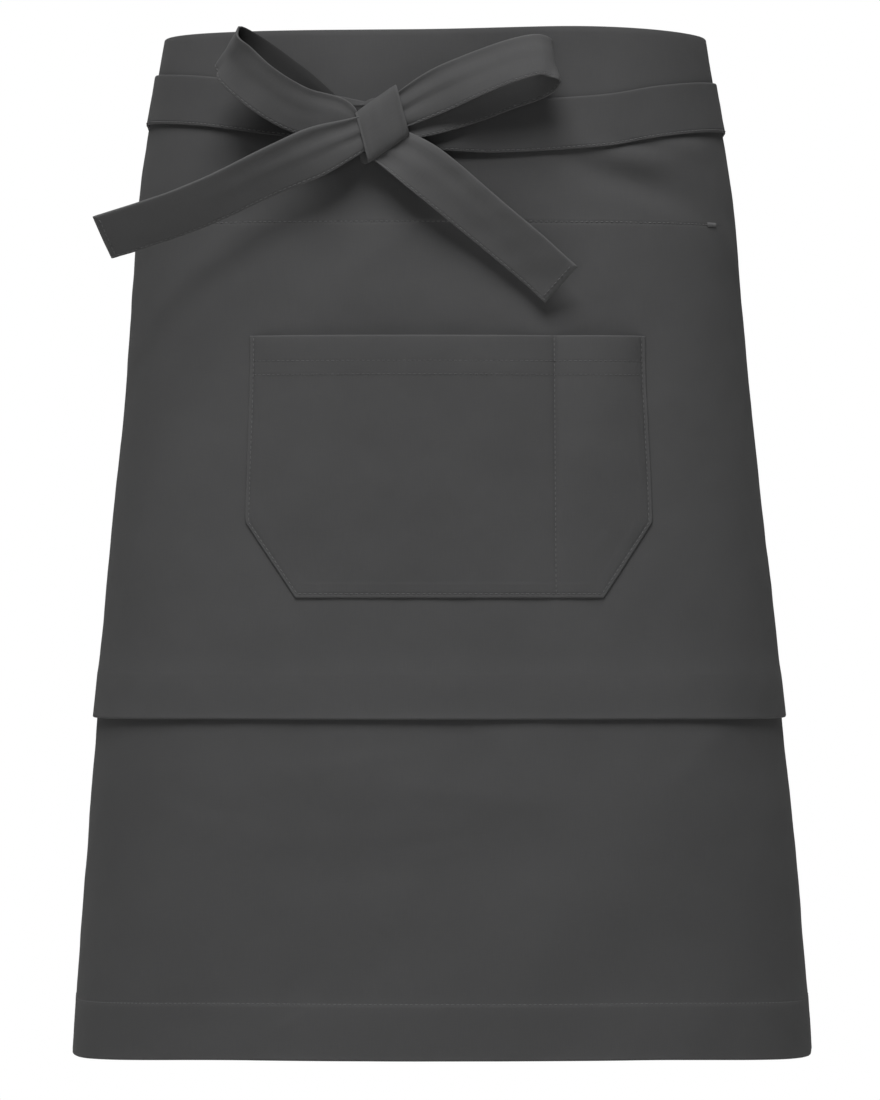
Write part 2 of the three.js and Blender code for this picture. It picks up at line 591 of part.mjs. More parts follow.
// A strap swept along a route of the bow.
function ribbonGeometry(route, reach, stepsPerSpan, endHem, cutters) {
  const middle = new THREE.CatmullRomCurve3(
    route.map((row) => ribbonPoint(row.across * reach, row.up * reach, row.stand * KNOT_PROUD)),
  );
  const attitude = new THREE.CatmullRomCurve3(
    route.map((row) => new THREE.Vector3(row.turn, row.lean, row.width * STRAP_WIDTH)),
    false,
    "catmullrom",
  );
  const shares = [-0.5, -0.18, 0.18, 0.5];
  const steps = (route.length - 1) * stepsPerSpan;
  const length = middle.getLength();
  const face = [];
  const back = [];
  for (let i = 0; i <= steps; i += 1) {
    const t = i / steps;
    const centre = middle.getPoint(t);
    const tangent = middle.getTangent(t);
    const { x: turn, y: lean, z: width } = attitude.getPoint(t);
    const aside = Math.sin(degToRad(turn)) * Math.cos(degToRad(lean));
    const upward = Math.cos(degToRad(turn)) * Math.cos(degToRad(lean));
    const breadth = new THREE.Vector3(aside, -Math.sin(degToRad(lean)), upward);
    breadth.addScaledVector(tangent, -breadth.dot(tangent)).normalize();
    const normal = new THREE.Vector3().crossVectors(tangent, breadth).normalize();
    const inHem = endHem && (1 - t) * length < STRAP_END_HEM;
    const half = (inHem ? STRAP_END_THICKNESS : STRAP_THICKNESS) / 2;
    const at = (share, out) =>
      centre.clone().addScaledVector(breadth, share * width).addScaledVector(normal, out);
    face.push(shares.map((share) => at(share, half)));
    back.push(shares.map((share) => at(share, -half)));
  }
  return cutAway(sheetGeometry(face, back), cutters);
}

const knotCutter = windingGeometry(KNOT, CLEARANCE);
const coreCutter = windingGeometry(CORE, CLEARANCE);
const bowCutters = [knotCutter, coreCutter];
const liftOverOtherTie = STRAP_THICKNESS + CLEARANCE;

const apron = new THREE.Group();
apron.add(
  frontPanel(),
  lowerPanel(),
  pocket(),
  clothMesh("tie_left", tieGeometry(-1, TIE_LEFT_ROUTE, 0, [coreCutter]), 0x424242),
  clothMesh("tie_right", tieGeometry(1, TIE_RIGHT_ROUTE, liftOverOtherTie, [coreCutter]), 0x424242),
  clothMesh("knot", windingGeometry(KNOT, 0), 0x4c4c4c),
  clothMesh("knot_core", windingGeometry(CORE, 0), 0x404040),
  clothMesh("loop_left", ribbonGeometry(LOOP_LEFT_ROUTE, LOOP_LEFT_REACH, 3, false, bowCutters), 0x484848),
  clothMesh("loop_right", ribbonGeometry(LOOP_RIGHT_ROUTE, LOOP_RIGHT_REACH, 3, false, bowCutters), 0x4c4c4c),
  clothMesh("tail_left", ribbonGeometry(TAIL_LEFT_ROUTE, TAIL_LEFT_REACH, 3, true, bowCutters), 0x484848),
  clothMesh("tail_right", ribbonGeometry(TAIL_RIGHT_ROUTE, TAIL_RIGHT_REACH, 4, true, bowCutters), 0x464646),
);

export default apron;
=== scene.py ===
"""A dark grey waist apron, worn and tied in front with a bow: its cloth, seams and finish."""

import math

import bpy
import numpy as np
from bpy.props import FloatProperty, FloatVectorProperty, PointerProperty
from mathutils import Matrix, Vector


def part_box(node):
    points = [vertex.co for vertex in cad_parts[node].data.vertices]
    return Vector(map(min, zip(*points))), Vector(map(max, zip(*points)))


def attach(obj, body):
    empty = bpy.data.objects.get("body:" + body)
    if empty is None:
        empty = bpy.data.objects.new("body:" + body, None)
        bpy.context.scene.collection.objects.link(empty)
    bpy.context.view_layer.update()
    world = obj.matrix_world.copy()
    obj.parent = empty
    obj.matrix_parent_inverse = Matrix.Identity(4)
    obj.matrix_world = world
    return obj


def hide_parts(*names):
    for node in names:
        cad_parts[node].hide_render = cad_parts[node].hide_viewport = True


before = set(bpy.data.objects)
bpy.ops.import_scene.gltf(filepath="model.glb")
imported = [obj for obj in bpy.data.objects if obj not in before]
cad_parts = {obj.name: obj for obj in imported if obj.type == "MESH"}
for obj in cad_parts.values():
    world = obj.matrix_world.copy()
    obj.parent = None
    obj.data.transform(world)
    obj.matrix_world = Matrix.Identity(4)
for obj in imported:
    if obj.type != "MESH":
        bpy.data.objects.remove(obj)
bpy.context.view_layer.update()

bl_info = {
    "name": "Waist Apron",
    "version": (1, 0, 0),
    "blender": (4, 5, 0),
    "location": "3D View > Sidebar > Apron",
    "description": "Builds a waist apron with a patch pocket, ties and a bow",
    "category": "Add Mesh",
}

MM = 0.001
BODY = "root"
# A pixel of the photograph on the plane of the apron's front, and the pixel of the frame's origin.
PIXEL = 0.584 * MM
ORIGIN_PIXEL = (437, 105)
FRAME_PIXELS = (880, 1100)

# Outline of the skirt: down is a share of the apron's length, the others are shares of the waist's sizes, and
# lean is how far the section's middle lies right of the waist's, as a share of the waist's half width.
SKIRT_SECTIONS = [
    dict(down=0.0, width=0.966, front=0.98, back=1.03, lean=-0.008),
    dict(down=0.06, width=1.003, front=1.0, back=1.08, lean=-0.008),
    dict(down=0.155, width=1.06, front=1.035, back=1.17, lean=-0.005),
    dict(down=0.35, width=1.117, front=1.1, back=1.3, lean=0.001),
    dict(down=0.595, width=1.21, front=1.18, back=1.4, lean=0.007),
    dict(down=0.815, width=1.27, front=1.24, back=1.46, lean=0.015),
    dict(down=1.0, width=1.32, front=1.28, back=1.5, lean=0.019),
]

# Soft folds: at is a share of half the panel's width from the middle, down, length and breadth are shares of
# the apron's length, turn is in degrees from level, and height is a share of the deepest fold.
SKIRT_FOLDS = [
    dict(at=0.3, down=0.15, length=0.07, breadth=0.022, turn=-12, height=-0.7),
    dict(at=0.36, down=0.118, length=0.06, breadth=0.018, turn=8, height=0.7),
    dict(at=-0.24, down=0.575, length=0.08, breadth=0.03, turn=24, height=0.35),
    dict(at=-0.05, down=0.735, length=0.2, breadth=0.03, turn=-3, height=0.45),
    dict(at=-0.1, down=0.815, length=0.16, breadth=0.03, turn=4, height=-0.4),
    dict(at=0.22, down=0.83, length=0.24, breadth=0.06, turn=48, height=1.0),
    dict(at=-0.3, down=0.95, length=0.1, breadth=0.025, turn=10, height=-0.35),
    dict(at=-0.84, down=0.9, length=0.26, breadth=0.045, turn=88, height=1),
    dict(at=0.85, down=0.88, length=0.26, breadth=0.045, turn=92, height=1.1),
    dict(at=-0.97, down=0.93, length=0.22, breadth=0.035, turn=87, height=-0.7),
    dict(at=0.98, down=0.92, length=0.22, breadth=0.035, turn=93, height=-0.8),
]

# Small creases, in the same columns.
SKIRT_CREASES = [
    dict(at=-0.12, down=0.71, length=0.06, breadth=0.008, turn=8, height=0.14),
    dict(at=0.07, down=0.745, length=0.07, breadth=0.009, turn=-6, height=0.14),
    dict(at=-0.33, down=0.76, length=0.05, breadth=0.008, turn=-14, height=-0.12),
    dict(at=-0.02, down=0.79, length=0.05, breadth=0.007, turn=10, height=-0.1),
    dict(at=-0.24, down=0.965, length=0.02, breadth=0.004, turn=30, height=0.16),
    dict(at=0.4, down=0.71, length=0.07, breadth=0.012, turn=40, height=0.14),
    dict(at=0.335, down=0.113, length=0.03, breadth=0.008, turn=-10, height=-0.5),
    dict(at=0.303, down=0.1265, length=0.05, breadth=0.01, turn=-14, height=0.35),
    dict(at=0.28, down=0.142, length=0.075, breadth=0.011, turn=-19, height=-0.35),
    dict(at=0.303, down=0.168, length=0.06, breadth=0.014, turn=-15, height=0.3),
    dict(at=0.17, down=0.255, length=0.09, breadth=0.03, turn=-50, height=-0.35),
    dict(at=0.5, down=0.2, length=0.06, breadth=0.012, turn=-55, height=0.25),
    dict(at=-0.45, down=0.3, length=0.08, breadth=0.014, turn=60, height=0.18),
    dict(at=0.5, down=0.45, length=0.1, breadth=0.014, turn=-70, height=0.16),
    dict(at=-0.5, down=0.5, length=0.1, breadth=0.014, turn=74, height=0.16),
    dict(at=-0.05, down=0.2, length=0.05, breadth=0.01, turn=35, height=0.14),
]

# Ties: round is the way round from the front middle, as a share of half the panel's width, level is the
# height of the strap's middle and width its breadth, as shares of the strap's width, and lift is how far it
# rises off the cloth towards the knot, as a share of the strap's thickness.
TIE_RIGHT_ROUTE = [
    dict(round=-0.08, level=-0.42, width=0.72, lift=1.6),
    dict(round=0.02, level=-0.42, width=0.9, lift=1.3),
    dict(round=0.1, level=-0.41, width=1, lift=0.7),
    dict(round=0.26, level=-0.28, width=1, lift=0.1),
    dict(round=0.36, level=-0.05, width=1, lift=0),
    dict(round=0.46, level=0.1, width=1, lift=0),
    dict(round=0.6, level=0.16, width=1, lift=0),
    dict(round=0.78, level=0.02, width=1, lift=0),
    dict(round=0.9, level=-0.21, width=1, lift=0),
    dict(round=1, level=-0.22, width=1, lift=0),
]
TIE_LEFT_ROUTE = [
    dict(round=0.09, level=-0.3, width=0.72, lift=1.6),
    dict(round=0.16, level=-0.2, width=0.92, lift=1.3),
    dict(round=0.24, level=-0.05, width=1, lift=0.6),
    dict(round=0.4, level=0.22, width=1, lift=0),
    dict(round=0.6, level=0.31, width=1, lift=0),
    dict(round=0.78, level=0.05, width=1, lift=0),
    dict(round=0.9, level=-0.21, width=1, lift=0),
    dict(round=1, level=-0.22, width=1, lift=0),
]

# Bow: across and up are shares of the piece's reach from the knot's middle, stand is a share of how far the
# knot stands out, turn and lean (degrees) tip the strap's breadth sideways and outwards, width is a share.
LOOP_LEFT_ROUTE = [
    dict(across=-0.04, up=0.02, stand=0.58, turn=25, lean=0, width=0.62),
    dict(across=-0.25, up=0.005, stand=0.5, turn=35, lean=0, width=0.85),
    dict(across=-0.53, up=0.2, stand=0.42, turn=38, lean=0, width=1),
    dict(across=-0.79, up=0.388, stand=0.5, turn=38, lean=0, width=1),
    dict(across=-0.9, up=0.447, stand=0.86, turn=36, lean=8, width=0.96),
    dict(across=-0.89, up=0.385, stand=1.22, turn=8, lean=14, width=1),
    dict(across=-0.735, up=0.228, stand=1.24, turn=14, lean=14, width=0.94),
    dict(across=-0.49, up=0.08, stand=0.9, turn=8, lean=8, width=0.93),
    dict(across=-0.27, up=0.03, stand=0.72, turn=8, lean=0, width=0.84),
    dict(across=-0.165, up=-0.018, stand=0.68, turn=14, lean=0, width=0.62),
    dict(across=-0.04, up=-0.01, stand=0.66, turn=20, lean=0, width=0.52),
]
LOOP_RIGHT_ROUTE = [
    dict(across=0.03, up=0, stand=0.58, turn=-24, lean=0, width=0.62),
    dict(across=0.19, up=0.04, stand=0.5, turn=-22, lean=0, width=0.85),
    dict(across=0.44, up=0.13, stand=0.42, turn=-20, lean=0, width=1),
    dict(across=0.67, up=0.215, stand=0.42, turn=-17, lean=0, width=1),
    dict(across=0.85, up=0.275, stand=0.5, turn=-13, lean=0, width=0.95),
    dict(across=0.925, up=0.335, stand=0.9, turn=-11, lean=-8, width=0.88),
    dict(across=0.86, up=0.37, stand=1.3, turn=-12, lean=-12, width=0.84),
    dict(across=0.7, up=0.335, stand=1.4, turn=-16, lean=-12, width=0.86),
    dict(across=0.47, up=0.25, stand=1.15, turn=-21, lean=-8, width=0.88),
    dict(across=0.28, up=0.165, stand=0.85, turn=-25, lean=0, width=0.86),
    dict(across=0.03, up=0.03, stand=0.7, turn=-26, lean=0, width=0.6),
]
TAIL_LEFT_ROUTE = [
    dict(across=-0.02, up=-0.01, stand=0.77, turn=-24, lean=0, width=0.58),
    dict(across=-0.095, up=-0.043, stand=0.83, turn=-24, lean=6, width=0.74),
    dict(across=-0.22, up=-0.095, stand=1.06, turn=-24, lean=14, width=1),
    dict(across=-0.37, up=-0.16, stand=1.04, turn=-24, lean=24, width=1),
    dict(across=-0.52, up=-0.232, stand=0.9, turn=-23, lean=28, width=1),
    dict(across=-0.67, up=-0.295, stand=0.66, turn=-21, lean=30, width=1),
    dict(across=-0.816, up=-0.342, stand=0.36, turn=-18, lean=30, width=1),
    dict(across=-0.928, up=-0.376, stand=0.1, turn=-17, lean=30, width=1),
]
TAIL_RIGHT_ROUTE = [
    dict(across=-0.02, up=-0.06, stand=0.64, turn=40, lean=0, width=0.78),
    dict(across=0.068, up=-0.115, stand=0.66, turn=41, lean=0, width=0.88),
    dict(across=0.178, up=-0.19, stand=0.84, turn=41, lean=8, width=1),
    dict(across=0.426, up=-0.395, stand=0.68, turn=41, lean=16, width=1),
    dict(across=0.6, up=-0.54, stand=0.52, turn=41, lean=20, width=1),
    dict(across=0.744, up=-0.668, stand=0.42, turn=41, lean=20, width=1),
]


def length_property(name, description, default_mm):
    return FloatProperty(name=name, description=description, default=default_mm * MM, unit="LENGTH", min=0)


def colour_property(name, description, default):
    return FloatVectorProperty(
        name=name, description=description, default=default, size=3, subtype="COLOR", min=0, max=1
    )


class ApronPanelSizes(bpy.types.PropertyGroup):
    """Sizes of the panels and of the waist that they go round."""

    cloth: length_property("Cloth", "Thickness of one layer of cloth", 1)
    clearance: length_property("Clearance", "Between pieces that lie on each other", 0.3)
    width: length_property("Panel width", "Width of the cloth, laid flat", 760)
    length: length_property("Length", "From the top edge to the hem", 604)
    top: length_property("Top above waist", "From the ties' level to the top edge", 46)
    front_length: length_property("Front length", "From the top edge to the front panel's fold", 405)
    seam_drop: length_property("Seam drop", "From the top edge to the seam under the bow", 113)
    lower_panel_drop: length_property("Lower panel drop", "From the top edge to the lower panel's top", 107)
    seam_reach: length_property("Seam reach", "From the middle to each end of that seam", 176)
    turn_up: length_property("Turn-up", "Depth of the cloth turned up behind the fold", 26)
    hem: length_property("Hem", "Depth of the bottom hem", 33)
    top_rise: length_property("Top rise", "How far the top edge rises right of the middle", 2.6)
    side_drop: length_property("Side drop", "How far the hem hangs lower at the sides", 4)
    half_width: length_property("Waist half width", "Half the width of the waist", 166)
    front: length_property("Waist front", "Depth of the waist in front of its middle", 105)
    back: length_property("Waist back", "Depth of the waist behind its middle", 95)
    squareness: FloatProperty(name="Squareness", description="Power of the waist's outline", default=2.8)
    fold: length_property("Fold", "Height of the deepest soft fold", 3)


class ApronPocketSizes(bpy.types.PropertyGroup):
    """Sizes of the patch pocket."""

    width: length_property("Width", "Greatest width", 240)
    depth: length_property("Depth", "From the mouth to the bottom", 154)
    drop: length_property("Drop", "From the apron's top edge to the mouth", 180)
    right: length_property("Right of middle", "How far right of the middle it sits", 6.5)
    inset: length_property("Mouth inset", "How much narrower each side is at the mouth", 3.5)
    corner_width: length_property("Corner width", "Width of the cut-off lower corners", 30)
    corner_height: length_property("Corner height", "Height of the cut-off lower corners", 45)
    hem: length_property("Hem", "From the mouth to the lower stitching", 23)
    hem_upper: length_property("Upper stitching", "From the mouth to the upper stitching", 15)
    fullness: length_property("Fullness", "How far the mouth stands open", 9.5)
    pen_fullness: length_property("Pen fullness", "How far the pen compartment stands open", 6.5)
    pen_width: length_property("Pen compartment", "Width of the pen compartment", 58)
    edge_stitch: length_property("Edge stitch", "From the edge to the stitching", 2.5)


class ApronBowSizes(bpy.types.PropertyGroup):
    """Sizes of the ties and the bow."""

    strap: length_property("Strap width", "Width of the ties", 30)
    thickness: length_property("Strap thickness", "Thickness of the doubled strap", 1.6)
    edge_stitch: length_property("Edge stitch", "From the strap's edge to its stitching", 1.6)
    end_hem: length_property("End hem", "Depth of the hem at the tails' ends", 4)
    sewn_drop: length_property("Sewn end drop", "From the top edge to a tie's sewn end", 2)
    knot_left: length_property("Knot left", "How far left of the middle the knot is", 32)
    knot_drop: length_property("Knot drop", "How far below the waist's level the knot is", 10.5)
    knot_proud: length_property("Knot proud", "How far the knot stands out from the cloth", 18)
    knot_depth: length_property("Knot depth", "Front to back size of the knot's band", 9.7)
    knot_width: length_property("Knot width", "Breadth of the knot's band", 29.6)
    knot_height: length_property("Knot height", "Height of the knot", 31)
    core_width: length_property("Core width", "Width of the first half of the knot", 27)
    core_height: length_property("Core height", "Height of the first half of the knot", 35)
    loop_left: length_property("Left loop", "Reach of the left loop", 100)
    loop_right: length_property("Right loop", "Reach of the right loop", 108)
    tail_left: length_property("Left tail", "Reach of the left tail", 177)
    tail_right: length_property("Right tail", "Reach of the right tail", 141)


class ApronCloth(bpy.types.PropertyGroup):
    """Colours and weave of the cloth."""

    panel: colour_property("Panels", "Colour of the front panel", (0.0455, 0.0455, 0.0462))
    lower: colour_property("Lower panel", "Colour of the lower panel", (0.0435, 0.0435, 0.0442))
    pocket: colour_property("Pocket", "Colour of the pocket", (0.045, 0.045, 0.0457))
    tie: colour_property("Ties", "Colour of the ties", (0.0425, 0.0425, 0.0432))
    # The bow is the same strap as the ties, but its colour is lighter: painted light, making up for the light that the
    # loops and tails lose as they lean down away from the key light.
    bow: colour_property("Bow", "Colour of the bow", (0.054, 0.054, 0.0547))
    thread: colour_property("Thread", "Colour of the sewing thread", (0.085, 0.085, 0.086))
    weave: length_property("Weave", "Width of one twill rib", 0.62)
    stitch: length_property("Stitch", "Length of one stitch with its gap", 3.0)
    thread_size: length_property("Thread size", "Thickness of the sewing thread", 0.46)


class ApronStage(bpy.types.PropertyGroup):
    """Floor, camera and light."""

    floor: FloatProperty(name="Floor", description="Level of the floor", default=-1.02, unit="LENGTH")
    floor_reach: FloatProperty(name="Floor reach", description="Radius of the floor", default=3, unit="LENGTH")
    floor_colour: colour_property("Floor colour", "Colour of the floor", (0.82, 0.82, 0.81))
    camera_distance: FloatProperty(
        name="Camera distance", description="From the apron's front to the camera", default=4, unit="LENGTH"
    )
    key: FloatProperty(name="Key light", description="Power of the front light", default=160, unit="POWER")
    sky: FloatProperty(name="Sky", description="Strength of the light from all round", default=0.1)


def smoothstep(low, high, value):
    """A share from 0 at low to 1 at high, level at both ends: t * t * (3 - 2 t)."""
    t = np.clip((np.asarray(value, float) - low) / (high - low), 0, 1)
    return t * t * (3 - 2 * t)


def table_value(rows, key, name, place):
    """A smooth value from a table: a cubic between two rows, whose slope at each row is that of the straight
    line between the rows on each side of it."""
    at = np.array([row[key] for row in rows], float)
    value = np.array([row[name] for row in rows], float)
    place = np.clip(np.asarray(place, float), at[0], at[-1])
    low = np.clip(np.searchsorted(at, place, side="left") - 1, 0, len(rows) - 2)
    slope = np.empty_like(at)
    slope[1:-1] = (value[2:] - value[:-2]) / (at[2:] - at[:-2])
    slope[0] = (value[1] - value[0]) / (at[1] - at[0])
    slope[-1] = (value[-1] - value[-2]) / (at[-1] - at[-2])
    span = at[low + 1] - at[low]
    t = (place - at[low]) / span
    eased = t * t * (3 - 2 * t)
    bend = t * (1 - t) * span
    straight = value[low] + (value[low + 1] - value[low]) * eased
    return straight + bend * ((1 - t) * slope[low] - t * slope[low + 1])


def column(rows, name):
    return np.array([row[name] for row in rows], float)


def soft_noise(u, v, size, seed, octaves=3):
    """Smooth bumps between about -1 and 1: a sum of plane waves in seeded directions, each octave half as
    long and half as high."""
    draw = np.random.default_rng(seed)
    total = np.zeros(np.broadcast(u, v).shape)
    for octave in range(octaves):
        for _ in range(5):
            turn, phase, stretch = draw.random(3) * (math.pi, 2 * math.pi, 0.6)
            wave = 2 * math.pi * 2**octave / (size * (0.7 + stretch))
            total += 0.5**octave * np.sin(wave * (u * math.cos(turn) + v * math.sin(turn)) + phase) / 3.2
    return total


class Skirt:
    """The surface that the cloth lies on. At each level it is a superellipse, walked by the distance round it
    from the front middle, and the soft folds stand out from it."""

    LEVELS = 280
    ANGLES = 721
    SHARES = 1201
    MARGIN = 15 * MM

    def __init__(self, sizes, strap):
        self.sizes = sizes
        self.strap = strap
        self.half_panel = sizes.width / 2
        self.top = sizes.top
        self.bottom = sizes.top - sizes.length
        self.front_edge = sizes.top - sizes.front_length
        self.seam = sizes.top - sizes.seam_drop
        self.levels = np.linspace(self.bottom - self.MARGIN, self.top + self.MARGIN, self.LEVELS)
        down = (self.top - self.levels) / sizes.length
        width = sizes.half_width * table_value(SKIRT_SECTIONS, "down", "width", down)
        self.front = sizes.front * table_value(SKIRT_SECTIONS, "down", "front", down)
        self.lean = sizes.half_width * table_value(SKIRT_SECTIONS, "down", "lean", down)
        back = sizes.back * table_value(SKIRT_SECTIONS, "down", "back", down)
        angle = np.linspace(0, math.pi, self.ANGLES)
        power = sizes.squareness
        depth = np.where(angle[None, :] < math.pi / 2, self.front[:, None], back[:, None])
        sine, cosine = np.abs(np.sin(angle)), np.abs(np.cos(angle))
        radius = ((sine / width[:, None]) ** power + (cosine / depth) ** power) ** (-1 / power)
        x, y = radius * np.sin(angle), -radius * np.cos(angle)
        normal_x = np.abs(x / width[:, None]) ** (power - 1) / width[:, None]
        normal_y = np.sign(y) * np.abs(y / depth) ** (power - 1) / depth
        size = np.hypot(normal_x, normal_y)
        steps = np.hypot(np.diff(x, axis=1), np.diff(y, axis=1))
        along = np.concatenate([np.zeros((self.LEVELS, 1)), np.cumsum(steps, axis=1)], axis=1)
        self.half_girth = along[:, -1]
        share = np.linspace(0, 1, self.SHARES)
        fields = (x, y, normal_x / size, normal_y / size)
        self.grid = np.stack(
            [
                np.stack([np.interp(share, along[i] / along[i, -1], field[i]) for i in range(self.LEVELS)])
                for field in fields
            ],
            axis=-1,
        )

    def girth(self, level):
        """Half the way round at a level."""
        return np.interp(level, self.levels, self.half_girth)

    def front_depth(self, level):
        return np.interp(level, self.levels, self.front)

    def fold_height(self, around, level):
        """Each fold is a ridge or dent with a bell-shaped section: exp(-(along/length)^2 - (across/breadth)^2).
        The folds fade out under the ties."""
        height = np.zeros(np.broadcast(around, level).shape)
        for fold in SKIRT_FOLDS + SKIRT_CREASES:
            turn = math.radians(fold["turn"])
            dx = around - fold["at"] * self.half_panel
            dz = level - (self.top - fold["down"] * self.sizes.length)
            along = (dx * math.cos(turn) + dz * math.sin(turn)) / (fold["length"] * self.sizes.length)
            across = (dz * math.cos(turn) - dx * math.sin(turn)) / (fold["breadth"] * self.sizes.length)
            height += fold["height"] * np.exp(-(along**2) - across**2)
        below_ties = smoothstep(self.strap * 0.4, self.strap * 0.75, -level)
        ripple = 0.1 * soft_noise(around, level, 130 * MM, 4) + 0.055 * soft_noise(around, level, 48 * MM, 9)
        return self.sizes.fold * (height * below_ties + ripple) + self.pucker(around, level)

    def pucker(self, around, level):
        """The stitching draws the cloth in along a narrow groove, and small waves run away from it."""
        lines = [
            (self.seam, self.sizes.seam_reach, 0.2),
            (self.bottom + self.sizes.hem, self.half_panel, 0.16),
        ]
        total = np.zeros(np.broadcast(around, level).shape)
        for line, reach, depth in lines:
            distance = np.abs(level - line)
            within = smoothstep(reach, reach - 8 * MM, np.abs(around))
            waves = soft_noise(around, np.zeros(1), 13 * MM, 21 + int(depth * 100), 2)
            groove = -depth * np.exp(-((distance / (0.9 * MM)) ** 2))
            total += within * MM * (groove + 0.13 * waves * np.exp(-distance / (7 * MM)))
        above = level - self.seam
        ledge = smoothstep(-0.5 * MM, 0.5 * MM, above) * np.exp(-np.clip(above, 0, None) / (14 * MM))
        total += 0.22 * MM * ledge * smoothstep(self.sizes.seam_reach + 14 * MM, self.sizes.seam_reach, np.abs(around))
        return total

    def level_shift(self, around, level):
        """The top edge rises a little right of the middle, and the hem hangs a little lower at the sides."""
        rise = np.exp(-(((around - self.half_panel * 0.25) / (self.half_panel * 0.18)) ** 2))
        near_top = smoothstep(self.top - self.sizes.lower_panel_drop, self.top, level)
        aside = smoothstep(self.half_panel * 0.3, self.half_panel * 0.7, np.abs(around))
        down = np.clip((self.top - level) / self.sizes.length, 0, 1)
        return self.sizes.top_rise * rise * near_top - self.sizes.side_drop * aside * down**3

    def at(self, around, level, out):
        """Points on the skirt: around is the distance from the front middle (past the back middle it comes
        round from the other side), level the height on the cloth, and out the distance from the wearer."""
        around, level, out = np.broadcast_arrays(
            np.asarray(around, float), np.asarray(level, float), np.asarray(out, float)
        )
        girth = self.girth(level)
        place = np.where(np.abs(around) > girth, around - np.sign(around) * 2 * girth, around)
        side = np.where(place < 0, -1.0, 1.0)
        row = (level - self.levels[0]) / (self.levels[1] - self.levels[0])
        row = np.clip(row, 0, self.LEVELS - 1.001)
        step = np.clip(np.abs(place) / girth * (self.SHARES - 1), 0, self.SHARES - 1.001)
        i, j = row.astype(int), step.astype(int)
        s, t = (row - i)[..., None], (step - j)[..., None]
        low = self.grid[i, j] * (1 - t) + self.grid[i, j + 1] * t
        high = self.grid[i + 1, j] * (1 - t) + self.grid[i + 1, j + 1] * t
        x, y, normal_x, normal_y = np.moveaxis(low * (1 - s) + high * s, -1, 0)
        offset = out + self.fold_height(place, level)
        z = level + self.level_shift(place, level)
        middle = np.interp(level, self.levels, self.lean)
        return np.stack([middle + side * (x + offset * normal_x), y + offset * normal_y, z], axis=-1)


class Layers:
    """Distances out from the wearer at which the layers of cloth lie."""

    def __init__(self, sizes):
        self.lower_face = sizes.cloth
        self.front_back = sizes.cloth + sizes.clearance
        self.front_face = self.front_back + sizes.cloth
        self.strap_back = self.front_face + sizes.clearance * 1.5
        self.pocket_back = self.front_face + sizes.clearance * 0.6


def new_mesh_object(name, points, faces, material, uv=None, wear=None, shade=None, smooth=True):
    """A mesh object at the origin from points (n, 3) and faces (m, 3 or 4). uv, wear and shade are values for each
    point: the place on the flat cloth in metres, 0 to 1 for rubbed edges, and 0 to 1 for painted shade, which darkens
    the cloth where shadow falls."""
    mesh = bpy.data.meshes.new(name)
    counts = [len(block) for block in faces]
    sides = [block.shape[1] for block in faces]
    corners = np.concatenate([block.ravel() for block in faces]).astype(np.int32)
    totals = np.concatenate([np.full(n, k, np.int32) for n, k in zip(counts, sides)])
    starts = np.concatenate([[0], np.cumsum(totals)[:-1]]).astype(np.int32)
    mesh.vertices.add(len(points))
    mesh.vertices.foreach_set("co", np.ascontiguousarray(points, np.float32).ravel())
    mesh.loops.add(len(corners))
    mesh.loops.foreach_set("vertex_index", corners)
    mesh.polygons.add(len(totals))
    mesh.polygons.foreach_set("loop_start", starts)
    mesh.polygons.foreach_set("use_smooth", np.full(len(totals), smooth))
    if uv is not None:
        layer = mesh.uv_layers.new(name="cloth")
        layer.uv.foreach_set("vector", np.asarray(uv, np.float32)[corners].ravel())
    # wear marks rubbed edges; shade is painted shade, which darkens the cloth where shadow falls.
    for mark, values in (("wear", wear), ("shade", shade)):
        values = np.zeros(len(points)) if values is None else np.asarray(values)
        mesh.attributes.new(mark, "FLOAT", "POINT").data.foreach_set("value", values.astype(np.float32))
    mesh.update(calc_edges=True)
    mesh.validate()
    mesh.materials.append(material)
    piece = bpy.data.objects.new(name, mesh)
    bpy.context.scene.collection.objects.link(piece)
    return piece


def outward(points, quads):
    """True if the faces point out: the signed volume under them is positive."""
    a, b, c = (points[quads[:, k]] for k in (0, 1, 2))
    d = points[quads[:, 3]] if quads.shape[1] > 3 else c
    volume = np.einsum("ij,ij->i", a, np.cross(b, c)) + np.einsum("ij,ij->i", a, np.cross(c, d))
    return volume.sum() > 0


def cloth_wall(name, loops, flat, face_rows, edge_rows, material, wear=None, shade=None):
    """A closed wall of cloth. loops is [step][place round the section]: face_rows places down the face,
    edge_rows round its lower edge, face_rows back up, and edge_rows round its upper edge."""
    steps, around = loops.shape[:2]
    index = np.arange(steps * around).reshape(steps, around)
    following = np.roll(index, -1, axis=1)
    quads = np.stack([index[:-1], index[1:], following[1:], following[:-1]], axis=-1).reshape(-1, 4)
    face = np.arange(face_rows)
    back = 2 * face_rows + edge_rows - 1 - face
    caps = []
    rims = []
    for row, turned in ((index[0], False), (index[-1], True)):
        strip = np.stack([row[face[:-1]], row[face[1:]], row[back[1:]], row[back[:-1]]], axis=-1)
        lower = row[face_rows - 1 : face_rows + edge_rows + 1]
        upper = np.concatenate([row[2 * face_rows + edge_rows - 1 :], row[:1]])
        fans = [
            np.stack([np.full(len(rim) - 2, rim[0]), rim[1:-1], rim[2:]], axis=-1) for rim in (lower, upper)
        ]
        caps.append(strip[:, ::-1] if turned else strip)
        rims.extend(fan[:, ::-1] if turned else fan for fan in fans)
    points = loops.reshape(-1, 3)
    blocks = [quads, *caps]
    if not outward(points, quads):
        blocks = [block[:, ::-1] for block in blocks]
        rims = [rim[:, ::-1] for rim in rims]
    faces = [np.concatenate(blocks), np.concatenate(rims)]
    marks = [None if mark is None else mark.reshape(-1) for mark in (wear, shade)]
    return new_mesh_object(name, points, faces, material, flat.reshape(-1, 2), *marks)


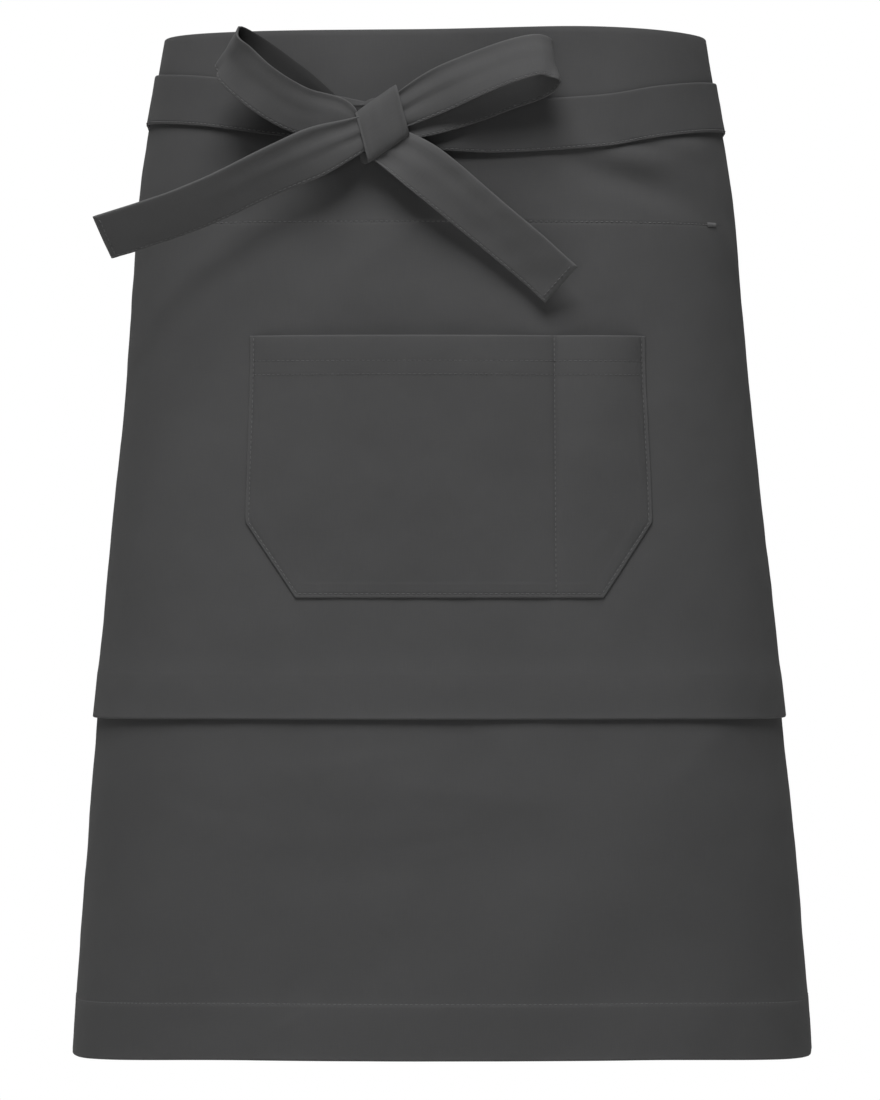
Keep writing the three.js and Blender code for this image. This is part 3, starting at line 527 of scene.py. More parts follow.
def levels_between(top, bottom, step, details=()):
    """Levels from top to bottom, a step apart, and closer together round each detail (place, reach, step)."""
    places = [np.linspace(top, bottom, max(2, round(abs(top - bottom) / step) + 1))]
    for place, reach, fine in details:
        near = np.arange(place - reach, place + reach + fine / 2, fine)
        places.append(near[(near < max(top, bottom)) & (near > min(top, bottom))])
    joined = np.unique(np.concatenate(places))
    keep = np.concatenate([[True], np.diff(joined) > 0.18 * MM])
    keep[-1] = True
    return joined[keep][::-1]


EDGE_ROWS = 5


def wall_section(levels, face, back):
    """A section through a wall of cloth, closed round both edges: down the face, round the lower edge in a
    half circle, up the back and round the upper edge. levels run down, face and back are distances out."""
    turn = np.linspace(0, math.pi, EDGE_ROWS + 2)[1:-1]

    def rounding(end, downward):
        middle = (face[end] + back[end]) / 2
        radius = (face[end] - back[end]) / 2
        sense = 1 if downward else -1
        out = middle + radius * np.cos(turn) * sense
        level = levels[end] - sense * radius * np.sin(turn)
        return level, out

    low_level, low_out = rounding(-1, True)
    high_level, high_out = rounding(0, False)
    level = np.concatenate([levels, low_level, levels[::-1], high_level])
    out = np.concatenate([face, low_out, back[::-1], high_out])
    return level, out


class Socket:
    """A shader socket that can be used in sums and products of numbers."""

    def __init__(self, shader, socket):
        self.shader = shader
        self.socket = socket

    def _math(self, operation, *values):
        return self.shader.node("ShaderNodeMath", {"operation": operation}, list(values))

    def __add__(self, other):
        return self._math("ADD", self, other)

    __radd__ = __add__

    def __mul__(self, other):
        return self._math("MULTIPLY", self, other)

    __rmul__ = __mul__

    def __sub__(self, other):
        return self._math("SUBTRACT", self, other)

    def __rsub__(self, other):
        return self._math("SUBTRACT", other, self)

    def __truediv__(self, other):
        return self._math("DIVIDE", self, other)

    def sine(self):
        return self._math("SINE", self)

    def power(self, exponent):
        return self._math("POWER", self, exponent)

    def clamped(self):
        return self.shader.node("ShaderNodeClamp", {}, {"Value": self})


class Shader:
    """Node tree of one material or of the world."""

    def __init__(self, owner, surface="Principled BSDF"):
        owner.use_nodes = True
        self.tree = owner.node_tree
        self.surface = self.tree.nodes[surface]

    def node(self, kind, settings, inputs, output=0):
        """One node: its settings first, then the values or links of its sockets, by name or in order."""
        made = self.tree.nodes.new(kind)
        for name, value in settings.items():
            setattr(made, name, value)
        pairs = inputs.items() if isinstance(inputs, dict) else enumerate(inputs)
        for key, value in pairs:
            self.put(made.inputs[key], value)
        return Socket(self, made.outputs[output])

    def put(self, socket, value):
        if isinstance(value, Socket):
            self.tree.links.new(value.socket, socket)
        elif value is not None:
            socket.default_value = value

    def mix(self, share, low, high):
        """A colour between two colours."""
        settings = {"data_type": "RGBA"}
        made = self.tree.nodes.new("ShaderNodeMix")
        for name, value in settings.items():
            setattr(made, name, value)
        for key, value in ((0, share), (6, low), (7, high)):
            self.put(made.inputs[key], value)
        return Socket(self, made.outputs[2])


def scaled(colour, factor):
    return (*[min(1, channel * factor) for channel in colour], 1)


def twill_material(name, colour, cloth, depth=1.0, mottle=1.0):
    """Matt twill. Ribs run diagonally over the flat cloth, warp threads differ a little in shade, soft patches vary
    the colour, and rubbed edges are paler and smoother. A painted shade, from each point's shade value, darkens the
    colour where shadow falls."""
    material = bpy.data.materials.new(name)
    shader = Shader(material)
    uv = shader.node("ShaderNodeUVMap", {"uv_map": "cloth"}, {})
    parts = shader.tree.nodes.new("ShaderNodeSeparateXYZ")
    shader.put(parts.inputs[0], uv)
    u, v = Socket(shader, parts.outputs[0]), Socket(shader, parts.outputs[1])
    wave = 2 * math.pi / cloth.weave
    wobble = shader.node("ShaderNodeTexNoise", {}, {"Vector": uv, "Scale": 900.0, "Detail": 2.0})
    rib = ((u * 0.55 + v) * wave + wobble * 2.2).sine() * 0.5 + 0.5
    weft = ((u - v * 0.5) * (wave * 1.7)).sine() * 0.5 + 0.5
    stretched = shader.node("ShaderNodeMapping", {}, {"Vector": uv, "Scale": (2600.0, 90.0, 1.0)})
    warp = shader.node("ShaderNodeTexNoise", {}, {"Vector": stretched, "Scale": 1.0, "Detail": 3.0})
    picks = shader.node("ShaderNodeMapping", {}, {"Vector": uv, "Scale": (110.0, 2300.0, 1.0)})
    weft_shade = shader.node("ShaderNodeTexNoise", {}, {"Vector": picks, "Scale": 1.0, "Detail": 3.0})
    patch = shader.node("ShaderNodeTexNoise", {}, {"Vector": uv, "Scale": 16.0, "Detail": 4.0})
    fine = shader.node("ShaderNodeTexNoise", {}, {"Vector": uv, "Scale": 140.0, "Detail": 5.0})
    wear = shader.node("ShaderNodeAttribute", {"attribute_name": "wear"}, {}, 2)
    shade = (
        (warp - 0.5) * 0.34
        + (weft_shade - 0.5) * 0.26
        + (patch - 0.5) * (0.34 * mottle)
        + (fine - 0.5) * 0.16
        + (rib - 0.5) * 0.18
        + wear * 0.34
        + 0.5
    ).clamped()
    cloth_colour = shader.mix(shade, scaled(colour, 0.72), scaled(colour, 1.28))
    # Painted shade: the shade attribute darkens the colour towards a quarter of it, standing in for shadow inside the
    # loops and on the knot.
    painted_shade = shader.node("ShaderNodeAttribute", {"attribute_name": "shade"}, {}, 2)
    base = shader.mix(painted_shade, cloth_colour, scaled(colour, 0.25))
    rough = (fine - 0.5) * 0.12 + (rib - 0.5) * 0.05 - wear * 0.06 + 0.86
    height = rib * 0.55 + weft * 0.25 + warp * 0.2
    weave_bump = shader.node(
        "ShaderNodeBump", {}, {"Strength": 0.35 * depth, "Distance": 0.00012, "Height": height}
    )
    soft = shader.node("ShaderNodeTexNoise", {}, {"Vector": uv, "Scale": 45.0, "Detail": 3.0})
    soft_bump = shader.node(
        "ShaderNodeBump", {}, {"Strength": 0.25 * depth, "Distance": 0.0006, "Height": soft, "Normal": weave_bump}
    )
    shader.put(shader.surface.inputs["Base Color"], base)
    shader.put(shader.surface.inputs["Roughness"], rough)
    shader.put(shader.surface.inputs["Normal"], soft_bump)
    shader.surface.inputs["Specular IOR Level"].default_value = 0.22
    shader.surface.inputs["Sheen Weight"].default_value = 0.03
    shader.surface.inputs["Sheen Roughness"].default_value = 0.6
    return material


def thread_material(name, colour, cloth):
    """Sewing thread: two plies twist round it, and its sheen is a little higher than the cloth's."""
    material = bpy.data.materials.new(name)
    shader = Shader(material)
    uv = shader.node("ShaderNodeUVMap", {"uv_map": "cloth"}, {})
    parts = shader.tree.nodes.new("ShaderNodeSeparateXYZ")
    shader.put(parts.inputs[0], uv)
    u, v = Socket(shader, parts.outputs[0]), Socket(shader, parts.outputs[1])
    ply = ((u * (2 * math.pi / 0.0007)) + v * (2 * math.pi)).sine() * 0.5 + 0.5
    shade = shader.node("ShaderNodeTexNoise", {}, {"Vector": uv, "Scale": 60.0, "Detail": 2.0})
    mixed = (ply * 0.5 + shade * 0.6 - 0.05).clamped()
    base = shader.mix(mixed, scaled(colour, 0.75), scaled(colour, 1.25))
    bump = shader.node("ShaderNodeBump", {}, {"Strength": 0.5, "Distance": 0.0001, "Height": ply})
    shader.put(shader.surface.inputs["Base Color"], base)
    shader.put(shader.surface.inputs["Roughness"], 0.66 - ply * 0.08)
    shader.put(shader.surface.inputs["Normal"], bump)
    shader.surface.inputs["Specular IOR Level"].default_value = 0.3
    return material


def plain_material(name, colour, roughness):
    """Painted floor with a faint grain."""
    material = bpy.data.materials.new(name)
    shader = Shader(material)
    place = shader.node("ShaderNodeTexCoord", {}, {}, 3)
    grain = shader.node("ShaderNodeTexNoise", {}, {"Vector": place, "Scale": 3.0, "Detail": 4.0})
    base = shader.mix(grain, scaled(colour, 0.98), scaled(colour, 1.02))
    shader.put(shader.surface.inputs["Base Color"], base)
    shader.surface.inputs["Roughness"].default_value = roughness
    return material


def stitch_row(path, normals, cloth, pitch=None, length=None, size=None):
    """Stitches along a path on the cloth: one short thread for each pitch, bowed up in the middle and sunk
    in at both ends. Height over the cloth is size * (1 - (2 t)^2) for t from -1/2 to 1/2 along it."""
    pitch = pitch or cloth.stitch
    length = length or cloth.stitch * 0.8
    size = size or cloth.thread_size
    steps = np.linalg.norm(np.diff(path, axis=0), axis=1)
    along = np.concatenate([[0], np.cumsum(steps)])
    count = max(1, int(along[-1] / pitch))
    centres = (np.arange(count) + 0.5) * along[-1] / count
    rings, sides = 6, 6
    t = np.linspace(-0.5, 0.5, rings)
    places = centres[:, None] + t[None, :] * length
    centre = np.stack([np.interp(places, along, path[:, k]) for k in range(3)], axis=-1)
    normal = np.stack([np.interp(places, along, normals[:, k]) for k in range(3)], axis=-1)
    normal /= np.linalg.norm(normal, axis=-1, keepdims=True)
    tangent = np.gradient(centre, axis=1)
    tangent /= np.linalg.norm(tangent, axis=-1, keepdims=True)
    across = np.cross(tangent, normal)
    lift = size * (0.5 - 1.6 * (2 * t) ** 4)
    radius = size / 2 * (1 - 0.35 * (2 * t) ** 4)
    turn = np.arange(sides) * 2 * math.pi / sides
    ring = centre[:, :, None] + normal[:, :, None] * lift[None, :, None, None] + radius[None, :, None, None] * (
        across[:, :, None] * np.cos(turn)[None, None, :, None]
        + normal[:, :, None] * np.sin(turn)[None, None, :, None]
    )
    uv = np.stack(
        [
            np.broadcast_to(places[:, :, None], ring.shape[:3]),
            np.broadcast_to((turn / (2 * math.pi))[None, None, :], ring.shape[:3]),
        ],
        axis=-1,
    )
    index = np.arange(count * rings * sides).reshape(count, rings, sides)
    following = np.roll(index, -1, axis=2)
    quads = np.stack(
        [index[:, :-1], following[:, :-1], following[:, 1:], index[:, 1:]], axis=-1
    ).reshape(-1, 4)
    first, last = index[:, 0], index[:, -1]
    fans = []
    for ring_index, turned in ((first, True), (last, False)):
        fan = np.stack(
            [
                np.repeat(ring_index[:, :1], sides - 2, axis=1),
                ring_index[:, 1:-1],
                ring_index[:, 2:],
            ],
            axis=-1,
        ).reshape(-1, 3)
        fans.append(fan[:, ::-1] if turned else fan)
    return ring.reshape(-1, 3), quads, np.concatenate(fans), uv.reshape(-1, 2)


def stitches_object(name, rows, material):
    """All the stitches of one seam or piece as one mesh."""
    points, quads, fans, uvs = [], [], [], []
    start = 0
    for row_points, row_quads, row_fans, row_uv in rows:
        points.append(row_points)
        quads.append(row_quads + start)
        fans.append(row_fans + start)
        uvs.append(row_uv)
        start += len(row_points)
    joined = np.concatenate(points)
    blocks = [np.concatenate(quads), np.concatenate(fans)]
    if not outward(joined, blocks[0]):
        blocks = [block[:, ::-1] for block in blocks]
    return new_mesh_object(name, joined, blocks, material, np.concatenate(uvs))


def bartack(skirt, around, level, out, width, cloth):
    """A bar tack: close zigzag stitches across a short bar, with two threads lying along it."""
    count = 14
    rows = []
    for share in (-0.35, 0.35):
        path_around = np.linspace(around - width / 2, around + width / 2, 12)
        path = skirt.at(path_around, level + share * MM, out)
        lifted = skirt.at(path_around, level + share * MM, out + MM)
        rows.append(stitch_row(path, lifted - path, cloth, width, width * 0.98, 0.4 * MM))
    for i in range(count):
        place = around + (i + 0.5 - count / 2) / count * width
        lean = 0.18 * MM * (1 if i % 2 else -1)
        path_around = np.linspace(place - lean, place + lean, 4)
        path_level = np.linspace(level - 1.5 * MM, level + 1.5 * MM, 4)
        path = skirt.at(path_around, path_level, out + 0.25 * MM)
        lifted = skirt.at(path_around, path_level, out + 1.25 * MM)
        rows.append(stitch_row(path, lifted - path, cloth, 3 * MM, 2.9 * MM, 0.48 * MM))
    return rows


def surface_row(skirt, around, level, out, cloth, **options):
    """A row of stitches along a line on the skirt."""
    path = skirt.at(around, level, out)
    lifted = skirt.at(around, level, np.asarray(out) + MM)
    return stitch_row(path, lifted - path, cloth, **options)


def built(context):
    """The skirt, its layers and the settings that the operators share."""
    scene = context.scene
    skirt = Skirt(scene.apron_panels, scene.apron_bow.strap)
    return skirt, Layers(scene.apron_panels), scene


def panel_columns(sizes, step):
    half = sizes.width / 2
    ends = np.array([0, 0.4, 1.1, 2.2]) * MM
    middle = np.linspace(-half, half, round(sizes.width / step) + 1)
    inner = middle[np.abs(middle) < half - 3 * MM]
    return np.concatenate([-half + ends, inner, half - ends[::-1]])


def edge_wear(around, level, half_width, edges, reach=2.5):
    """1 at the named levels and at the side edges, falling off over a few millimetres."""
    near = half_width - np.abs(around)
    for edge in edges:
        near = np.minimum(near, np.abs(level - edge))
    return np.exp(-np.clip(near, 0, None) / (reach * MM))


class APRON_OT_front_panel(bpy.types.Operator):
    """Front panel: a wall of cloth from the top edge to the fold, with the cloth turned up behind it"""

    bl_idname = "apron.front_panel"
    bl_label = "Front Panel"

    def execute(self, context):
        skirt, layers, scene = built(context)
        sizes, cloth = scene.apron_panels, scene.apron_cloth
        half_layer = sizes.cloth / 2
        fold_top = skirt.front_edge + sizes.turn_up
        details = [
            (skirt.seam, 4 * MM, 0.6 * MM),
            (fold_top, 4 * MM, 0.9 * MM),
            (skirt.front_edge + 3 * MM, 3 * MM, 0.8 * MM),
        ]
        levels = levels_between(skirt.top - half_layer, skirt.front_edge + sizes.cloth, 3.4 * MM, details)
        doubled = smoothstep(fold_top + 13 * MM, fold_top - 9 * MM, levels)
        ridge = 0.06 * MM * np.exp(-(((levels - fold_top) / (1.3 * MM)) ** 2))
        face = layers.front_face + sizes.cloth * doubled + ridge
        back = np.full_like(levels, layers.front_back)
        level, out = wall_section(levels, face, back)
        around = panel_columns(sizes, 3.3 * MM)[:, None]
        lift = (1 + soft_noise(around, np.zeros(1), 150 * MM, 3)) * 0.45 * MM
        flare = lift * np.exp(-np.clip(level - skirt.front_edge, 0, None) / (14 * MM))[None, :]
        loops = skirt.at(around, level[None, :], out[None, :] + flare)
        flat = np.stack(np.broadcast_arrays(around, level[None, :]), axis=-1)
        edges = (skirt.top, skirt.front_edge)
        wear = edge_wear(around, level[None, :], skirt.half_panel, edges, 1.8)
        seam_wear = np.exp(-np.abs(level[None, :] - skirt.seam) / (1.8 * MM))
        wear = np.maximum(wear, seam_wear * (np.abs(around) < sizes.seam_reach))
        material = twill_material("front_cloth", cloth.panel, cloth)
        piece = cloth_wall("front_panel_cloth", loops, flat, len(levels), EDGE_ROWS, material, wear)
        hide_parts("front_panel")
        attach(piece, BODY)
        return {"FINISHED"}


def lower_swing(skirt, sizes, level):
    """The lower panel swings out a little below the front panel's fold."""
    return sizes.cloth * 1.4 * smoothstep(0, sizes.hem * 2, skirt.front_edge - np.asarray(level))


class APRON_OT_lower_panel(bpy.types.Operator):
    """Lower panel: sewn behind the front panel, with a turned hem at the bottom"""

    bl_idname = "apron.lower_panel"
    bl_label = "Lower Panel"

    def execute(self, context):
        skirt, layers, scene = built(context)
        sizes, cloth = scene.apron_panels, scene.apron_cloth
        top = skirt.top - sizes.lower_panel_drop
        hem_top = skirt.bottom + sizes.hem
        hidden = levels_between(top - sizes.cloth / 2, skirt.front_edge + 4 * MM, 5.5 * MM)
        details = [(hem_top, 4 * MM, 0.7 * MM), (skirt.bottom + 3 * MM, 3 * MM, 0.8 * MM)]
        shown = levels_between(skirt.front_edge, skirt.bottom + sizes.cloth, 3.2 * MM, details)
        levels = np.concatenate([hidden, shown])
        swing = lower_swing(skirt, sizes, levels)
        doubled = smoothstep(hem_top + 0.5 * MM, hem_top - 0.6 * MM, levels)
        face = swing + layers.lower_face + 0.2 * MM * doubled
        back = swing - sizes.cloth * doubled
        level, out = wall_section(levels, face, back)
        around = panel_columns(sizes, 3.3 * MM)[:, None]
        loops = skirt.at(around, level[None, :], out[None, :])
        flat = np.stack(np.broadcast_arrays(around, level[None, :]), axis=-1)
        wear = edge_wear(around, level[None, :], skirt.half_panel, (skirt.bottom, hem_top), 1.8)
        material = twill_material("lower_cloth", cloth.lower, cloth)
        piece = cloth_wall("lower_panel_cloth", loops, flat, len(levels), EDGE_ROWS, material, wear)
        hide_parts("lower_panel")
        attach(piece, BODY)
        return {"FINISHED"}


class PocketShape:
    """Outline and fullness of the pocket, on the skirt."""

    def __init__(self, skirt, layers, scene):
        self.skirt = skirt
        self.layers = layers
        self.sizes = scene.apron_pocket
        self.cloth = scene.apron_panels.cloth
        self.left = self.sizes.right - self.sizes.width / 2
        self.right_edge = self.sizes.right + self.sizes.width / 2
        self.divider = self.right_edge - self.sizes.pen_width
        self.mouth = skirt.top - self.sizes.drop

    def inset(self, depth):
        """How far each side lies inside the greatest width, at a depth below the mouth."""
        sizes = self.sizes
        flare = sizes.inset * (1 - smoothstep(0, sizes.depth * 0.8, depth))
        corner = np.clip((depth - sizes.depth + sizes.corner_height) / sizes.corner_height, 0, 1)
        return flare + sizes.corner_width * corner

    def edge_distance(self, around, depth):
        """Distance in from the nearest sewn edge of the pocket."""
        sizes = self.sizes
        slope = math.hypot(sizes.corner_width, sizes.corner_height)
        corner_line = (depth - sizes.depth + sizes.corner_height) / sizes.corner_height
        left = around - self.left
        right = self.right_edge - around
        straight = sizes.inset * (1 - smoothstep(0, sizes.depth * 0.8, depth))
        cut_left = (left - sizes.corner_width * corner_line) * sizes.corner_height / slope
        cut_right = (right - sizes.corner_width * corner_line) * sizes.corner_height / slope
        return np.minimum.reduce([left - straight, right - straight, cut_left, cut_right, sizes.depth - depth])

    def back(self, around, depth):
        """Distance out from the wearer to the pocket's inner face: sewn down at the edges and the divider,
        and full between them, less so towards the bottom."""
        sizes = self.sizes
        main = around < self.divider
        inset = self.inset(depth) + sizes.edge_stitch
        low = np.where(main, self.left + inset, self.divider)
        high = np.where(main, self.divider, self.right_edge - inset)
        share = np.clip((around - low) / np.maximum(high - low, MM), 0, 1)
        fullness = np.where(main, sizes.fullness, sizes.pen_fullness)
        crown = (4 * share * (1 - share)) ** 0.75
        fall = (1 - np.clip(depth / sizes.depth, 0, 1) ** 1.6) ** 1.2
        ripple = 0.2 * MM * soft_noise(around, depth, 60 * MM, 15) * crown
        return self.layers.pocket_back + fullness * crown * fall + ripple

    def thickness(self, around, depth):
        """The cloth is turned in along the sewn edges and the mouth, so it is thicker there, and each line
        of stitching draws it in."""
        sizes = self.sizes
        edge = self.edge_distance(around, depth)
        turned = smoothstep(9.5 * MM, 8 * MM, edge)
        hem = smoothstep(sizes.hem + 1.4 * MM, sizes.hem + 0.2 * MM, depth)
        thick = self.cloth * (1 + 0.16 * np.maximum(turned, hem))
        groove = np.exp(-(((edge - sizes.edge_stitch) / (0.7 * MM)) ** 2)) * 0.24
        for line in (sizes.hem, sizes.hem_upper):
            groove = groove + 0.12 * np.exp(-(((depth - line) / (0.7 * MM)) ** 2))
        groove = groove + 0.4 * np.exp(-(((around - self.divider) / (0.9 * MM)) ** 2))
        rim = np.minimum(edge, depth)
        rounding = np.sqrt(np.clip(1 - (1 - np.clip(rim / (0.9 * MM), 0, 1)) ** 2, 0, 1))
        return (thick - groove * MM * 0.8) * (0.35 + 0.65 * rounding)

    def face(self, around, depth):
        return self.back(around, depth) + self.thickness(around, depth)


class APRON_OT_pocket(bpy.types.Operator):
    """Patch pocket: cut-off lower corners, a hem at the mouth and a narrow compartment at the right"""

    bl_idname = "apron.pocket"
    bl_label = "Pocket"

    def execute(self, context):
        skirt, layers, scene = built(context)
        shape = PocketShape(skirt, layers, scene)
        sizes, cloth = shape.sizes, scene.apron_cloth
        details = [
            (sizes.hem, 3 * MM, 0.7 * MM),
            (sizes.hem_upper, 2 * MM, 0.7 * MM),
            (sizes.depth - 2.5 * MM, 2.5 * MM, 0.45 * MM),
            (sizes.depth - 9 * MM, 1.6 * MM, 0.8 * MM),
            (1 * MM, 1 * MM, 0.3 * MM),
        ]
        depths = levels_between(sizes.depth, 0, 2.6 * MM, details)[::-1]
        near_edge = np.array([0, 0.25, 0.55, 0.95, 1.7, 2.5, 3.1, 3.7, 4.5, 6.5, 7.8, 8.6, 9.8]) * MM
        inner = np.linspace(0, 1, 64)[1:-1]
        from_left = self.spread(near_edge, inner)
        left = shape.left + shape.inset(depths)
        right = shape.right_edge - shape.inset(depths)
        around = self.columns(shape, left, right, from_left)
        depth = np.broadcast_to(depths, around.shape)
        face = skirt.at(around, shape.mouth - depth, shape.face(around, depth))
        back = skirt.at(around, shape.mouth - depth, shape.back(around, depth))
        flat = np.stack([around, shape.mouth - depth], axis=-1)
        loops, flats = self.closed(face, back, flat)
        wear_face = np.exp(-np.clip(shape.edge_distance(around, depth), 0, None) / (1.4 * MM))
        wear_face = np.maximum(wear_face, np.exp(-depth / (1.8 * MM)))
        wear = np.concatenate([wear_face, wear_face[:, ::-1]], axis=1)
        material = twill_material("pocket_twill", cloth.pocket, cloth)
        piece = cloth_wall("pocket_cloth", loops, flats, depth.shape[1], 0, material, wear)
        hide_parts("pocket")
        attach(piece, BODY)
        sizes.width + 20 * MM
        ((sizes.width + 20 * MM) * (sizes.depth + sizes.hem + 10 * MM)
            - sizes.corner_width * sizes.corner_height)
        return {"FINISHED"}

    @staticmethod
    def spread(near_edge, inner):
        """Places across one compartment: exact distances near its edges, shares between them."""
        return near_edge, inner

    @staticmethod
    def columns(shape, left, right, spread):
        """Columns of the pocket: close together near both edges and the divider, even between them."""
        near_edge, inner = spread
        near_divider = np.array([-2.4, -1.2, -0.6, 0, 0.6, 1.2, 2.4]) * MM
        left, right = left[None, :], right[None, :]
        first = left + near_edge[:, None]
        last = right - near_edge[::-1, None]
        low = left + near_edge[-1]
        main = low + (shape.divider + near_divider[0] - low) * inner[:, None]
        middle = np.broadcast_to((shape.divider + near_divider)[:, None], (len(near_divider), left.shape[1]))
        high = right - near_edge[-1]
        start = shape.divider + near_divider[-1]
        pen = start + (high - start) * inner[::3, None]
        return np.concatenate([first, main, middle, pen, last])

    @staticmethod
    def closed(face, back, flat):
        return np.concatenate([face, back[:, ::-1]], axis=1), np.concatenate([flat, flat[:, ::-1]], axis=1)


class TieShape:
    """A tie on the skirt, from the knot round its own side and across the back to its sewn end."""

    def __init__(self, skirt, layers, scene, side, route, lift_at_back):
        bow, sizes = scene.apron_bow, scene.apron_panels
        self.skirt, self.layers, self.side, self.strap = skirt, layers, side, bow.strap
        self.thickness = bow.thickness
        half = skirt.half_panel
        step = 2.6 * MM
        start = route[0]["round"] * half
        front = np.arange(start, half, step)
        share = np.linspace(0, 1, 60)
        overlap = sizes.width / 23
        sewn = np.arange(step, overlap, step)
        sewn = np.append(sewn, overlap)
        sewn_level = (skirt.top - bow.sewn_drop) / bow.strap - 0.5
        passed_level = route[-1]["level"]
        self.level = np.concatenate(
            [
                table_value(route, "round", "level", front / half),
                passed_level + (sewn_level - passed_level) * share,
                np.full(len(sewn), sewn_level),
            ]
        )
        self.width = np.concatenate(
            [table_value(route, "round", "width", front / half), np.ones(len(share) + len(sewn))]
        )
        near = lift_at_back * smoothstep(half - overlap * 1.5, half, front)
        off_cloth = bow.thickness * table_value(route, "round", "lift", front / half)
        self.lift = np.concatenate(
            [
                off_cloth + near,
                np.full(len(share), lift_at_back),
                lift_at_back * smoothstep(overlap * 0.5, 0, sewn) + 0.1 * MM,
            ]
        )
        self.base = np.concatenate([front, np.full(len(share), half), np.full(len(sewn), -half)])
        self.turns = np.concatenate([np.zeros(len(front)), share, np.ones(len(sewn))])
        self.extra = np.concatenate([np.zeros(len(front) + len(share)), sewn])
        self.count = len(self.level)
        self.half = half
        self.gather = np.exp(-(np.arange(self.count) * step) / (22 * MM))

    def around(self, girth):
        """The way round at each place: the back stretch takes up what the panel leaves open."""
        open_back = 2 * girth - 2 * self.half
        base = np.minimum(self.base, self.half)
        front = np.where(self.base < 0, self.half, base)
        front = np.where(self.extra > 0, self.half, front)
        start = self.base.copy()
        start[self.extra > 0] = self.half
        return start[:, None] + self.turns[:, None] * open_back + self.extra[:, None]

    def at(self, across, out):
        """Points of the strap: across is a share of its width from its middle, out a distance from its back."""
        level = (self.level[:, None] + across * self.width[:, None]) * self.strap
        around = self.around(self.skirt.girth(level))
        ripple = self.gather[:, None] * 0.9 * MM * np.cos(across * 17 + 1)
        lifted = self.layers.strap_back + self.lift[:, None] + ripple + 0.35 * MM * self.gather[:, None]
        return self.skirt.at(self.side * around, level, lifted + out)


def strap_section(width, thickness, stitch):
    """Section of a doubled strap, as shares across and distances from its middle plane: flat, with round
    edges, and drawn in along its stitching near the lower edge."""
    half = width / 2
    distance = np.array([0.12, 0.4, 0.9, 1.6, 2.1, 2.5, 2.9, 3.5, 5, 7.5, 10.5, 13]) * MM
    left = -half + distance
    across = np.concatenate([left, [0], -left[::-1]])
    edge = half - np.abs(across)
    rounded = np.sqrt(np.clip(1 - (1 - np.clip(edge / (0.8 * MM), 0, 1)) ** 2, 0, 1))
    groove = 0.3 * np.exp(-(((across + half - stitch) / (0.55 * MM)) ** 2))
    height = thickness / 2 * (rounded * (1 - groove))
    return across / width, height


class APRON_OT_ties(bpy.types.Operator):
    """Ties: doubled straps from the knot round the sides, crossing behind to the far top corners"""

    bl_idname = "apron.ties"
    bl_label = "Ties"

    def execute(self, context):
        skirt, layers, scene = built(context)
        bow, cloth = scene.apron_bow, scene.apron_cloth
        material = twill_material("tie_cloth", cloth.tie, cloth)
        over = bow.thickness + scene.apron_panels.clearance
        rows = []
        for name, side, route, lift in (
            ("tie_left", -1, TIE_LEFT_ROUTE, 0),
            ("tie_right", 1, TIE_RIGHT_ROUTE, over),
        ):
            tie = TieShape(skirt, layers, scene, side, route, lift)
            share, height = strap_section(bow.strap, bow.thickness, bow.edge_stitch)
            middle = bow.thickness / 2
            across = np.concatenate([share, share[::-1]])[None, :]
            out = np.concatenate([middle + height, (middle - height)[::-1]])[None, :]
            loops = tie.at(across, out)
            along = np.concatenate(
                [[0], np.cumsum(np.linalg.norm(np.diff(loops[:, len(share) // 2], axis=0), axis=1))]
            )
            flat = np.stack(np.broadcast_arrays(along[:, None], across * bow.strap), axis=-1)
            wear = np.exp(-(0.5 - np.abs(across)) * bow.strap / (1.2 * MM)) * np.ones((tie.count, 1))
            piece = cloth_wall(f"{name}_strap", loops, flat, len(share), 0, material, wear)
            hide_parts(name)
            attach(piece, BODY)
            line = np.full(1, -0.5 + bow.edge_stitch / bow.strap)
            path = tie.at(line[None, :], np.full((1, 1), bow.thickness * 0.9))[:, 0]
            lifted = tie.at(line[None, :], np.full((1, 1), bow.thickness * 0.9 + MM))[:, 0]
            rows.append(stitch_row(path, lifted - path, cloth))
        stitched = stitches_object("tie_stitching", rows, bpy.data.materials["thread"])
        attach(stitched, BODY)
        return {"FINISHED"}


def smooth_path(points, places, centripetal=True):
    """A curve through points: each stretch is a cubic whose slopes come from the points on both sides, spaced
    by the root of their distances where centripetal. places count stretches, so 1.5 is half way along the
    second stretch. The ends go on past the first and last point by mirroring."""
    points = np.asarray(points, float)
    padded = np.concatenate([[2 * points[0] - points[1]], points, [2 * points[-1] - points[-2]]])
    low = np.clip(places.astype(int), 0, len(points) - 2)
    t = (places - low)[:, None]
    p0, p1, p2, p3 = (padded[low + k] for k in range(4))
    if centripetal:
        d0, d1, d2 = (
            np.maximum(np.linalg.norm(b - a, axis=1, keepdims=True) ** 0.5, 1e-6)
            for a, b in ((p0, p1), (p1, p2), (p2, p3))
        )
        start = ((p1 - p0) / d0 - (p2 - p0) / (d0 + d1) + (p2 - p1) / d1) * d1
        end = ((p2 - p1) / d1 - (p3 - p1) / (d1 + d2) + (p3 - p2) / d2) * d1
    else:
        start, end = (p2 - p0) / 2, (p3 - p1) / 2
    c2 = 3 * (p2 - p1) - 2 * start - end
    c3 = 2 * (p1 - p2) + start + end
    return p1 + t * (start + t * (c2 + t * c3))


